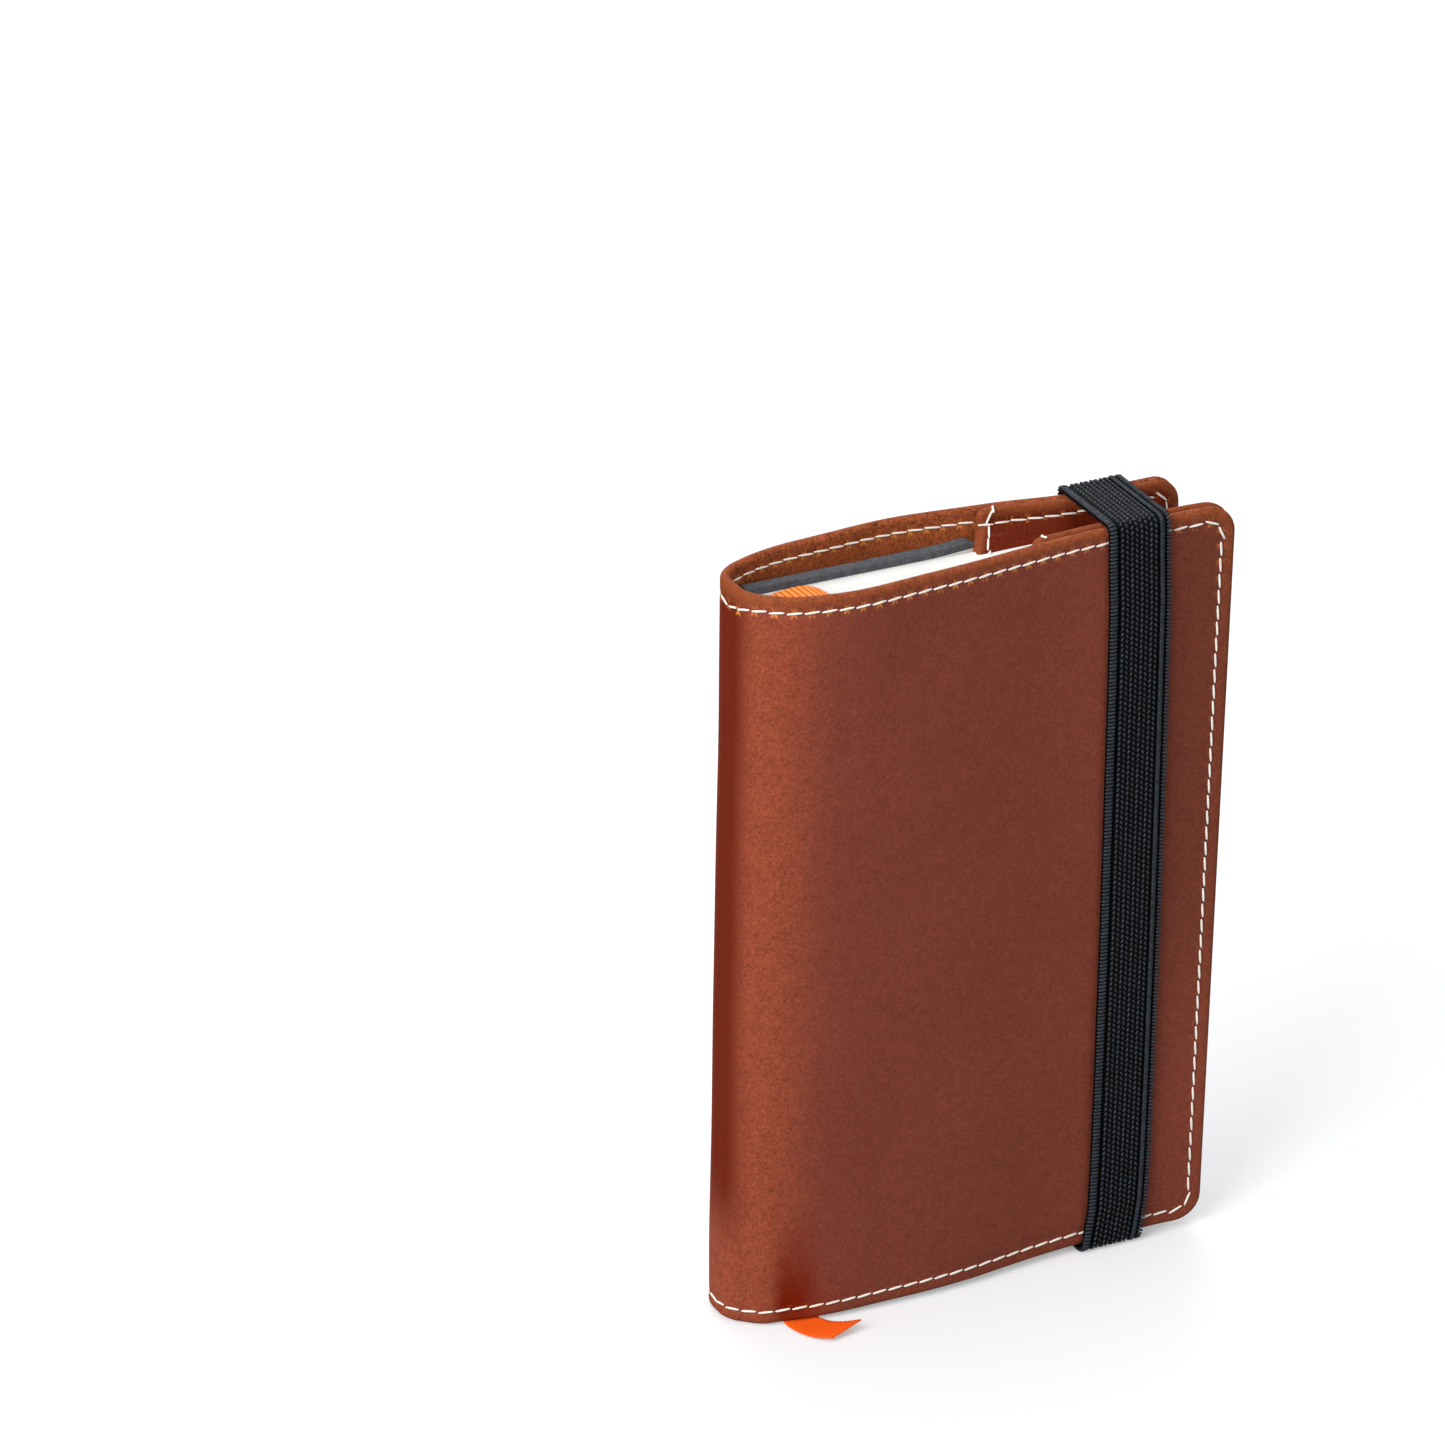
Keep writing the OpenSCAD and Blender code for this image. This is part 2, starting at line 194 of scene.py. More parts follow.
class Half:
    """One half of the cover, and its hide's middle line from nose to fore-edge."""

    def __init__(self, name, side, pocket_drawn, pocket_proud):
        self.name, self.side, self.pocket_proud = name, side, pocket_proud
        self.pocket_u = cad(name + "_pocket")[0][0] + pocket_drawn
        (self.board_near, _, _), (self.board_edge, _, _) = cad(name + "_board")
        v = np.linspace(0, FOLD_HALF, 120)
        u = np.linspace(FOLD_U, cad(name + "_leather")[1][0], 900)[1:]
        line = np.concatenate([
            np.stack([spine_depth(v), v], -1), np.stack([u, cover_half(u)], -1)])
        run = run_along(line)
        self.length = run[-1]
        self.run = np.linspace(0, self.length, 1200)
        self.u, self.v = (np.interp(self.run, run, column) for column in line.T)
        angle = np.unwrap(np.arctan2(np.gradient(self.v), np.gradient(self.u)))
        angle[0] = np.pi / 2
        pad = 12
        wide = np.pad(angle, pad, mode="reflect", reflect_type="odd")
        self.angle = np.convolve(wide, np.ones(2 * pad + 1) / (2 * pad + 1), "valid")

    def at(self, s, d):
        """Plan point, d out from the middle of the hide."""
        angle = np.interp(s, self.run, self.angle)
        u = np.interp(s, self.run, self.u) - np.sin(angle) * d
        v = np.interp(s, self.run, self.v) + np.cos(angle) * d
        return u, self.side * v

    def plan_u(self, s):
        return np.interp(s, self.run, self.u)

    def s_at(self, u):
        past_nose = self.run > 6
        return float(np.interp(u, self.u[past_nose], self.run[past_nose]))


# how far each pocket is drawn from where it was cut, and how proud its rim stands
BACK = Half("back", 1, 0.9, 0.0)
FRONT = Half("front", -1, 0.7, 0.2)
HALVES = (BACK, FRONT)


# ---- mesh code

def new_object(name, mesh, material=None):
    thing = bpy.data.objects.new(name, mesh)
    bpy.context.scene.collection.objects.link(thing)
    if material:
        mesh.materials.append(material)
    return thing


def finish_mesh(bm, name, finish, sharp=40):
    """A closed mesh in metres, its doubles merged and its faces outwards."""
    bmesh.ops.remove_doubles(bm, verts=bm.verts, dist=2e-7)
    bmesh.ops.dissolve_degenerate(bm, edges=bm.edges, dist=1e-8)
    bmesh.ops.recalc_face_normals(bm, faces=bm.faces)
    for face in bm.faces:
        face.smooth = True
    mesh = bpy.data.meshes.new(name)
    bm.to_mesh(mesh)
    bm.free()
    mesh.set_sharp_from_angle(angle=math.radians(sharp))
    return new_object(name, mesh, finish_of(finish))


def skin(bm, rows, closed=False):
    """Quads between each two rows of points that follow each other."""
    for a, b in zip(rows, rows[1:]):
        for k in range(len(a) - (not closed)):
            after = (k + 1) % len(a)
            bm.faces.new((a[k], a[after], b[after], b[k]))


def tube(bm, rows):
    """A skin along rows that each go round, with both ends filled."""
    skin(bm, rows, closed=True)
    bm.faces.new(rows[0])
    bm.faces.new(rows[-1][::-1])


class Leaf:
    """Builds a leaf with a rolled edge along its top, far side and bottom.

    The leaf's own plane has s from the near end and z from the bottom. A
    profile gives the edge as pairs of inset and height, from one face round
    to the other, and place() sends the plane into the frame.
    """

    def __init__(self, s_values, high, corner, profile, place, z_step=2.0):
        self.s0, self.s1 = s_values[0], s_values[-1]
        self.high, self.corner, self.profile, self.place = high, corner, profile, place
        self.inset = profile[0][0]
        inner = self.s1 - self.inset
        rows = max(2, int((high - 2 * self.inset) / z_step))
        self.grid_s = np.array([s for s in s_values if s < inner - 0.2] + [inner])
        self.grid_z = np.linspace(self.inset, high - self.inset, rows + 1)
        more = np.array([0.5, 1.0]) * (self.inset - corner) if self.inset > corner else []
        self.path_s = np.concatenate([self.grid_s, np.add(inner, more)])
        self.path_z = np.concatenate([
            np.add(high - self.inset, more[::-1]), self.grid_z[::-1],
            np.subtract(self.inset, more)])
        self.turns = np.radians(np.linspace(0, 90, 9)[1:-1])

    def ring(self, q):
        """The line round the leaf at an inset, from the top's near end to the bottom's."""
        r, high, far = self.corner, self.high, self.s1 - q
        top = np.minimum(self.path_s, far)
        turned = max(r - q, 0.0)
        arc_s = far - turned + turned * np.sin(self.turns)
        arc_z = high - q - turned + turned * np.cos(self.turns)
        fore = np.clip(self.path_z, q, high - q)
        s = np.concatenate([top, arc_s, np.full(len(fore), far), arc_s[::-1], top[::-1]])
        z = np.concatenate([
            np.full(len(top), high - q), arc_z, fore, (high - arc_z)[::-1],
            np.full(len(top), q)])
        return s, z

    def run_at(self, q):
        return run_along(np.stack(self.ring(q), -1))

    def build(self, name, finish, near_edge=False):
        """The leaf's mesh; near_edge says that its near end is a free edge too."""
        bm = bmesh.new()
        depth, along, inner = (
            bm.verts.layers.float.new(key) for key in ("edge_q", "seam_run", "inner_face"))
        middle = (self.profile[0][1] + self.profile[-1][1]) / 2
        seam_start = 6

        def add(s, z, q, d, runs=None):
            points = self.place(s, z, d, q)
            if near_edge:
                q = np.minimum(q, s - self.s0)
                runs = None if runs is None else np.where(s - self.s0 < seam_start, 0.0, runs)
            made = []
            for i, point in enumerate(points):
                vert = bm.verts.new(point)
                vert[depth] = q[i]
                vert[along] = 0.0 if runs is None else runs[i]
                vert[inner] = float(d < middle)
                made.append(vert)
            return made

        run = self.run_at(SEAM)
        rings = []
        for q, d in self.profile:
            s, z = self.ring(q)
            rings.append(add(s, z, np.full(len(s), float(q)), d, run))
        skin(bm, rings)
        near = []
        for d in (self.profile[0][1], self.profile[-1][1]):
            columns = []
            for s in self.grid_s:
                z = self.grid_z
                q = np.maximum(self.inset, np.minimum(
                    self.s1 - s, np.minimum(z, self.high - z)))
                columns.append(add(np.full(len(z), s), z, q, d))
            skin(bm, columns)
            near.append(columns[0])
        skin(bm, near)
        for end in (0, -1):
            bm.faces.new([ring[end] for ring in rings])
        return finish_mesh(bm, name, finish)


def half_round(half, steps):
    """Edge profile round a rim of the given half thickness."""
    return [(half * (1 - math.sin(a)), half * math.cos(a))
            for a in np.linspace(0, np.pi, steps + 1)]


def squared(half, flat, radius=0.35):
    """Edge profile: a square edge with its corners rounded, and flat insets before it."""
    turn = np.linspace(0, np.pi / 2, 5)
    face = [(q, half) for q in flat] + [
        (radius * (1 - math.sin(a)), half - radius * (1 - math.cos(a))) for a in turn]
    return face + [(q, -d) for q, d in face[::-1]]


def spread(start, stop, step):
    """Numbers about a step apart, both ends included."""
    return list(np.linspace(start, stop, max(1, round((stop - start) / step)) + 1))


def rounded_path(corners, radius, step):
    """Points a step apart along a plane line of corners that are turned round."""
    corners = np.array(corners, float)
    line = [corners[0]]
    for a, b, c in zip(corners, corners[1:], corners[2:]):
        for t in np.linspace(0, 1, 9):
            p = b - unit(b - a) * radius * (1 - t)
            q = b + unit(c - b) * radius * t
            line.append(p + (q - p) * t)
    line = np.array(line + [corners[-1]])
    run = run_along(line)
    even = np.linspace(0, run[-1], max(1, round(run[-1] / step)) + 1)
    return np.stack([np.interp(even, run, column) for column in line.T], -1)


def through(points, parts):
    """A smooth line through points, with some parts between each two of them."""
    p = np.array(points, float)
    p = np.concatenate([2 * p[:1] - p[1:2], p, 2 * p[-1:] - p[-2:-1]])
    t = (np.arange(parts) / parts)[:, None]
    line = [0.5 * (2 * b + (c - a) * t + (2 * a - 5 * b + 4 * c - d) * t ** 2
                   + (3 * b - a - 3 * c + d) * t ** 3)
            for a, b, c, d in zip(p, p[1:], p[2:], p[3:])]
    return np.concatenate(line + [p[-2:-1]])


# ---- node graphs

def arithmetic(operation, reflected=False):
    """A method that adds a Math node on the socket and the numbers or sockets given."""
    def method(self, *others):
        order = (*others, self) if reflected else (self, *others)
        return self.graph.add("ShaderNodeMath", dict(enumerate(order)), operation=operation)
    return method


class Wire:
    """A socket whose arithmetic adds Math nodes."""

    def __init__(self, graph, socket):
        self.graph, self.socket = graph, socket

    __add__ = __radd__ = arithmetic("ADD")
    __mul__ = __rmul__ = arithmetic("MULTIPLY")
    __sub__, __rsub__ = arithmetic("SUBTRACT"), arithmetic("SUBTRACT", reflected=True)
    __truediv__, __mod__ = arithmetic("DIVIDE"), arithmetic("FLOORED_MODULO")
    __abs__, sine = arithmetic("ABSOLUTE"), arithmetic("SINE")
    most, over = arithmetic("MAXIMUM"), arithmetic("GREATER_THAN")

    def step(self, start, stop):
        """0 before start and 1 after stop, smooth between them."""
        return self.graph.add(
            "ShaderNodeMapRange", {"Value": self, "From Min": start, "From Max": stop},
            "Result", interpolation_type="SMOOTHSTEP")


class Graph:
    """Adds nodes to one tree."""

    def __init__(self, tree):
        self.tree = tree

    def put(self, socket, value):
        """Links a wire to a socket, or sets its value; a colour gets its alpha."""
        if isinstance(value, Wire):
            self.tree.links.new(value.socket, socket)
        else:
            socket.default_value = (*value, 1.0) if socket.type == "RGBA" else value

    def node(self, kind, values=None, **settings):
        made = self.tree.nodes.new(kind)
        for key, value in settings.items():
            setattr(made, key, value)
        for key, value in (values or {}).items():
            self.put(made.inputs[key], value)
        return made

    def add(self, kind, values=None, out=0, **settings):
        """A new node's output, as a wire."""
        return Wire(self, self.node(kind, values, **settings).outputs[out])

    def mix(self, factor, a, b, blend="MIX"):
        return self.add("ShaderNodeMix", {0: factor, 6: a, 7: b}, 2,
                        data_type="RGBA", blend_type=blend)

    def split(self, output, share, lit, seen):
        """Shows the camera a share of the second shader, and other rays the first."""
        surface = self.tree.nodes[output].inputs["Surface"]
        self.tree.nodes.remove(surface.links[0].from_node)
        camera = self.add("ShaderNodeLightPath", out="Is Camera Ray")
        self.put(surface, self.add("ShaderNodeMixShader", {
            0: camera * share, 1: lit, 2: seen}))

    def parts(self, vector):
        return [Wire(self, out) for out in
                self.node("ShaderNodeSeparateXYZ", {"Vector": vector}).outputs]


class Finish(Graph):
    """A new material's nodes: its shader, and patterns on its Object coordinates."""

    def __init__(self, name):
        self.material = bpy.data.materials.new(name)
        self.material.use_nodes = True
        super().__init__(self.material.node_tree)
        self.place = self.add("ShaderNodeTexCoord", out="Object")

    def noise(self, scale, detail, rough):
        """Noise over the object; three scales stretch it along the axes."""
        place = self.place
        if isinstance(scale, tuple):
            place = self.add("ShaderNodeMapping", {"Vector": place, "Scale": scale})
            scale = 1
        return self.add("ShaderNodeTexNoise", {
            "Vector": place, "Scale": scale, "Detail": detail, "Roughness": rough}, "Fac")

    def attribute(self, name):
        return self.add("ShaderNodeAttribute", out="Fac", attribute_name=name)

    def bump(self, height, distance, strength):
        return self.add("ShaderNodeBump", {
            "Height": height, "Distance": distance, "Strength": strength}, "Normal")

    def shade(self, **sockets):
        """Feeds the shader's sockets, and gives the material."""
        shader = self.tree.nodes["Principled BSDF"]
        for name, value in sockets.items():
            self.put(shader.inputs[name.replace("_", " ")], value)
        return self.material


def sizes():
    return bpy.context.scene.cover_sizes


def colours():
    return bpy.context.scene.cover_colours


def speckled(g, base, amount):
    """A tone that flickers grain by grain, by an amount that may vary."""
    grain = g.noise(1750, 4, 0.8)
    patch = g.noise(420, 4, 0.65)
    tone = 1 + (grain - 0.5) * amount * 5.4 + (patch - 0.5) * amount * 1.6
    base = g.mix(1.0, base, tone.most(0.3), "MULTIPLY")
    flake = g.noise(2100, 2, 0.7).step(0.5, 0.74)
    return g.mix(flake * amount * 0.5, base, colours().hide_pale), grain


def needle_marks(g, base, q, strength):
    """Needle holes, dark with painted shade, and the pale creases that the pulled thread leaves round them.
    """
    run = g.attribute("seam_run")
    pitch = sizes().stitch_pitch / MM
    phase = abs((run / pitch + 0.5) % 1.0 - 0.5) * pitch
    away = q - SEAM
    off = abs(away)
    sewn = run.over(0.01)
    ray = (1 - (abs(phase - off * 0.42)).step(0.06, 0.34)) * (1 - off.step(0.45, 1.35))
    patch = g.noise(1300, 2, 0.6).step(0.3, 0.55)
    base = g.mix(ray * patch * strength * (0.45 + 0.55 * away.step(-0.2, 0.3)) * sewn, base,
                 colours().hide_pulled)
    hole_shade = (1 - phase.step(0.14, 0.3)) * (1 - off.step(0.12, 0.3)) * sewn
    return g.mix(hole_shade * 0.85, base, colours().needle_hole_shade)


def hide_material():
    """Waxed hide: speckled, paler where it is bent or rubbed, with painted highlights on the spine and along
    the top rims, and painted shade down the nose, on the front's lower corner and beyond the elastic.
    """
    g, c = Finish("waxed_hide"), colours()
    q, inner = g.attribute("edge_q"), g.attribute("inner_face")
    u, v = g.attribute("plan_u"), g.attribute("plan_v")
    high = g.parts(g.place)[2] / MM
    cloud = g.noise(34, 3, 0.5).step(0.35, 0.7)
    wander = (g.noise((160, 160, 45), 3, 0.55) - 0.5) * 6
    base = g.mix(cloud * 0.45, c.hide, c.hide_dark)
    # paler where the hide bends round the spine, partly its own pull-up and partly a painted highlight of
    # the light on it; down the nose between its two folds, a painted shade in deep red that ends near the
    # foot
    foot = 1 - (high + wander).step(12, 32)
    bend_and_highlight = (1 - (u + wander).step(5.5, 16)) * abs(v + wander * 0.15).step(2.6, 6.2).most(foot)
    base = g.mix(bend_and_highlight, base, c.hide_bent_and_highlight)
    painted_shade = (1 - u.step(3.0, 7.0)) * (1 - abs(v + wander * 0.12).step(1.8, 7.2)) * (1 - foot)
    base = g.mix(painted_shade * 0.9, base, c.hide_deep_tone_and_painted_shade)
    # a painted shade, deep red, on the front's lower corner beside the spine, over the ribbon's tail
    patch = ((u + wander * 0.2).step(6.3, 9.0) * (1 - (u + wander * 0.4).step(11.5, 17))
             * (1 - (high + wander * 3).step(4, 26)) * (1 - v.step(-3, 0)))
    base = g.mix(patch, base, c.hide_painted_low_shade)
    painted_shade = painted_shade.most(patch)
    # a painted shade on the outer face beyond the elastic, fading out towards the foot
    painted_far_shade = u.step(83, 89) * high.step(25, 80)
    base = g.mix(painted_far_shade * (1 - inner), base, c.hide_painted_far_shade)
    base = g.mix(inner * (0.4 + 0.6 * q.step(0.5, 2.5)), base, c.hide_inside)
    # rims rubbed paler, and paler still along the top as a painted highlight of the light from above; the
    # cut edge inside is paler too
    rim_rub_and_highlight = (1 - q.step(0.6, 3.0)) * (0.3 + 0.7 * high.step(120, 144))
    cut = q.step(7.2, 8.2) * inner
    base = g.mix((rim_rub_and_highlight * 0.9).most(cut * 0.7), base, c.hide_rubbed_and_highlight)
    amount = (0.24 + 0.16 * bend_and_highlight.most(rim_rub_and_highlight) + 0.34 * inner) * (1 - 0.75 * painted_shade)
    base, grain = speckled(g, base, amount)
    base = needle_marks(g, base, q, high.step(128, 144) * (1 - u.step(50, 80) * 0.5) + 0.12)
    fine, wrinkle = g.noise(3200, 2, 0.6), g.noise(240, 5, 0.65)
    return g.shade(Base_Color=base, Roughness=0.5 + 0.16 * grain - 0.06 * cloud + 0.22 * painted_shade,
                   Normal=g.bump(fine * 0.35 + grain * 0.45 + wrinkle * 0.8, 0.00013, 0.55),
                   Specular_IOR_Level=0.07)


def pocket_material():
    """Thinner hide of the pockets, creased along its rim."""
    g, c = Finish("pocket_hide"), colours()
    q = g.attribute("edge_q")
    cloud = g.noise(60, 4, 0.6).step(0.35, 0.7)
    crease = g.noise((110, 900, 1500), 3, 0.6)
    base = g.mix(cloud * 0.5, c.pocket, c.hide_deep_tone_and_painted_shade)
    base = g.mix((1 - q.step(0.8, 2.6)) * 0.9, base, c.hide_rubbed_and_highlight)
    base = g.mix(crease.step(0.58, 0.72) * (1 - q.step(2.0, 8.0)) * 0.5, base, c.hide_dark)
    base, grain = speckled(g, base, 0.3)
    base = needle_marks(g, base, q, (1 - q.step(2.9, 3.3)) * 0.7)
    return g.shade(Base_Color=base, Roughness=0.54 + 0.14 * grain,
                   Normal=g.bump(grain * 0.5 + crease * 0.7, 0.00014, 0.6),
                   Specular_IOR_Level=0.07)


def thread_material():
    """Waxed sewing thread, two plies twisted."""
    g, c = Finish("waxed_thread"), colours()
    x, y, z = g.parts(g.place)
    twist = ((x + y * 0.6 + z) * (TURN / 0.0006)).sine()
    dirt = g.noise(600, 2, 0.6).step(0.55, 0.85)
    base = g.mix(dirt * 0.3, c.thread, c.thread_soiled)
    return g.shade(Base_Color=base, Roughness=0.55 + 0.1 * dirt,
                   Normal=g.bump(twist, 0.00003, 0.5))


def yarn_material(name, dark, pale, gloss):
    """Black polyester over rubber, with a dull sheen on its yarn."""
    g = Finish(name)
    sheen_fleck = g.noise(1500, 3, 0.7)
    strands = g.noise((5200, 5200, 1500), 2, 0.6)
    # pale bluish flecks over the yarn are a painted sheen; the ground gets none, as both its colours are the
    # same
    base = g.mix(sheen_fleck.step(0.3, 0.75), dark, pale)
    return g.shade(Base_Color=base, Roughness=0.4 + 0.25 * strands,
                   Normal=g.bump(strands, 0.00005, 0.6), Specular_IOR_Level=gloss)


def elastic_material():
    """The elastic's yarn."""
    return yarn_material("elastic_yarn", colours().elastic, colours().elastic_painted_sheen, 0.5)


def elastic_core_material():
    """What shows between the elastic's yarns, darker than the yarn as a painted shade."""
    ground = colours().elastic_ground
    return yarn_material("elastic_ground", ground, ground, 0.1)


def board_material():
    """Book cloth over board: a fine matt slate weave."""
    g, c = Finish("book_cloth"), colours()
    x, y, z = g.parts(g.place)
    thread = TURN / 0.00055
    weave = (z * thread).sine() * ((x + y) * thread).sine()
    slub = g.noise(900, 3, 0.65)
    base = g.mix((weave * 0.18 + slub * 0.9).step(0.2, 0.85), c.board, c.board_pale)
    return g.shade(Base_Color=base, Roughness=0.78 + 0.1 * slub,
                   Normal=g.bump(weave * 0.5 + slub, 0.00008, 0.6), Specular_IOR_Level=0.3)


def paper_material():
    """White paper; the cut edges show the single leaves."""
    g, c = Finish("page_paper"), colours()
    y = g.parts(g.place)[1]
    wander = g.noise((70, 400, 70), 3, 0.5)
    leaf = ((y + (wander - 0.5) * 0.0003) * (TURN / 0.00022)).sine()
    fleck = g.noise(500, 3, 0.6)
    edge = g.noise((90, 5200, 90), 3, 0.7)
    # the darker lines between the leaves are painted shade in the gaps; the edge noise is the paper's own
    # uneven tone
    tone = (0.5 + 0.5 * leaf) * 0.35 + edge.step(0.3, 0.75) * 0.65
    base = g.mix(tone, c.paper_shade, c.paper)
    return g.shade(Base_Color=base, Roughness=0.86 + 0.08 * fleck,
                   Normal=g.bump(leaf * 0.6 + edge + fleck * 0.3, 0.00005, 0.5),
                   Specular_IOR_Level=0.25)


def ribbon_material():
    """Satin grosgrain with ribs across it: painted highlights on its yarn and ridges, painted shade in its
    grooves and a painted sheen over its head.
    """
    g, c = Finish("ribbon_grosgrain"), colours()
    yarn, tuft = g.noise(1600, 3, 0.6), g.noise(3800, 2, 0.6)
    ridge = g.attribute("rib")
    high = g.parts(g.place)[2]
    # a painted sheen over the head on top of the pages; the painted highlights and groove shade are weaker
    # low down, where the ribbon lies on the floor
    top_sheen, body = high.step(0.1, 0.13), high.step(0.004, 0.02) * 0.65 + 0.35
    base = g.mix(yarn.step(0.4, 0.8) * body * 0.35, c.ribbon, c.ribbon_pale)
    base = g.mix(top_sheen * 0.75, base, c.ribbon_top_sheen)
    # painted highlights on the ridges, painted shade in the grooves
    base = g.mix(ridge.step(1.0, 1.2) * (0.5 * body + 0.4 * top_sheen), base, c.ribbon_pale)
    base = g.mix((1 - ridge.step(0.74, 1.04)) * (0.5 * body + 0.45 * top_sheen), base,
                 c.ribbon_groove_shade)
    return g.shade(Base_Color=base, Roughness=0.5 + 0.2 * tuft,
                   Normal=g.bump(tuft, 0.00004, 0.6), Specular_IOR_Level=0.12)


FINISHES = {
    "hide": hide_material, "pocket": pocket_material, "thread": thread_material,
    "elastic": elastic_material, "core": elastic_core_material,
    "board": board_material, "paper": paper_material, "ribbon": ribbon_material}


@cache
def finish_of(name):
    """One material for each finish, made when it is first asked for."""
    return FINISHES[name]()


# ---- geometry node groups

class Tree(Graph):
    """A geometry node group whose named inputs are numbers, some of them whole."""

    def __init__(self, name, numbers, whole=()):
        super().__init__(bpy.data.node_groups.new(name, "GeometryNodeTree"))
        kinds = {"Geometry": "Geometry", **dict.fromkeys(whole, "Int"),
                 **dict.fromkeys(numbers, "Float"), "Material": "Material"}
        for label, kind in kinds.items():
            self.tree.interface.new_socket(
                label, in_out="INPUT", socket_type="NodeSocket" + kind)
        self.tree.interface.new_socket(
            "Geometry", in_out="OUTPUT", socket_type="NodeSocketGeometry")
        self.source = self.tree.nodes.new("NodeGroupInput")
        self.result = self.tree.nodes.new("NodeGroupOutput")
        self.curve = self.add("GeometryNodeMeshToCurve", {"Mesh": self["Geometry"]})

    def __getitem__(self, label):
        return Wire(self, self.source.outputs[label])

    def named(self, label, kind="FLOAT_VECTOR"):
        return self.add("GeometryNodeInputNamedAttribute", {"Name": label}, "Attribute",
                        data_type=kind)

    def stored(self, geometry, label, value, kind):
        return self.add("GeometryNodeStoreNamedAttribute", {
            "Geometry": geometry, "Name": label, "Value": value}, data_type=kind)

    def evenly(self, pitch):
        """The curve with its points a pitch apart."""
        return self.add("GeometryNodeResampleCurve", {"Curve": self.curve, "Length": pitch},
                        mode="LENGTH")

    def stand(self, ahead, slant=None):
        """Rotation with Z outwards and X ahead, then slanted about its Z."""
        turn = self.add("FunctionNodeAlignRotationToVector", {"Vector": self.named("out")},
                        axis="Z")
        turn = self.add("FunctionNodeAlignRotationToVector", {
            "Rotation": turn, "Vector": ahead}, axis="X", pivot_axis="Z")
        if slant is None:
            return turn
        lean = self.add("ShaderNodeCombineXYZ", {"Z": slant})
        return self.add("FunctionNodeRotateRotation", {"Rotation": turn, "Rotate By": lean},
                        rotation_space="LOCAL")

    def rod(self, length, width, height, sides=8, rings=7, crosswise=False):
        """A rounded rod: a sphere with its ends filled out, along X or else along Y."""
        ball = self.add("GeometryNodeMeshUVSphere", {
            "Segments": sides, "Rings": rings, "Radius": 1.0}, "Mesh")
        turned = self.add("GeometryNodeTransform", {
            "Geometry": ball, "Rotation": (0, math.pi / 2, 0)})
        x, y, z = self.parts(self.add("GeometryNodeInputPosition"))
        if crosswise:
            y = y * (1.5 - 0.5 * y * y)
        else:
            x = x * (1.5 - 0.5 * x * x)
        place = self.add("ShaderNodeCombineXYZ", {
            "X": x * length * 0.5, "Y": y * width * 0.5, "Z": z * height * 0.5})
        return self.add("GeometryNodeSetPosition", {"Geometry": turned, "Position": place})

    def copies(self, points, shape, turn, **more):
        """The shape on every point, turned."""
        return self.add("GeometryNodeInstanceOnPoints", {
            "Points": points, "Instance": shape, "Rotation": turn, **more}, "Instances")

    def finish(self, geometry):
        flat = self.add("GeometryNodeRealizeInstances", {"Geometry": geometry})
        smooth = self.add("GeometryNodeSetShadeSmooth", {"Geometry": flat})
        painted = self.add("GeometryNodeSetMaterial", {
            "Geometry": smooth, "Material": self["Material"]})
        self.put(self.result.inputs[0], painted)
        return self.tree


@cache
def stitch_tree():
    """Stitches: one rod to a pitch, slanted, and stretched by its run's reach."""
    t = Tree("lock_stitches", ("Pitch", "Length", "Width", "Height", "Slant"))
    size = t.add("ShaderNodeCombineXYZ", {"X": t.named("reach", "FLOAT"), "Y": 1.0, "Z": 1.0})
    turn = t.stand(t.add("GeometryNodeInputTangent"), t["Slant"])
    return t.finish(t.copies(
        t.evenly(t["Pitch"]), t.rod(t["Length"], t["Width"], t["Height"]), turn, Scale=size))


YARN = {  # the elastic's knots, ribbed cord and teeth: sizes and places in metres
    "Column Shift": -0.0004, "Knot Length": 0.00078, "Knot Width": 0.00046,
    "Knot Height": 0.00062, "Rib Middle": -0.00555, "Rib Width": 0.00155,
    "Rib Height": 0.00062, "Tooth Middle": 0.00575, "Tooth Width": 0.0011,
    "Tooth Length": 0.0005, "Cord Middle": 0.00435, "Cord Width": 0.00105}


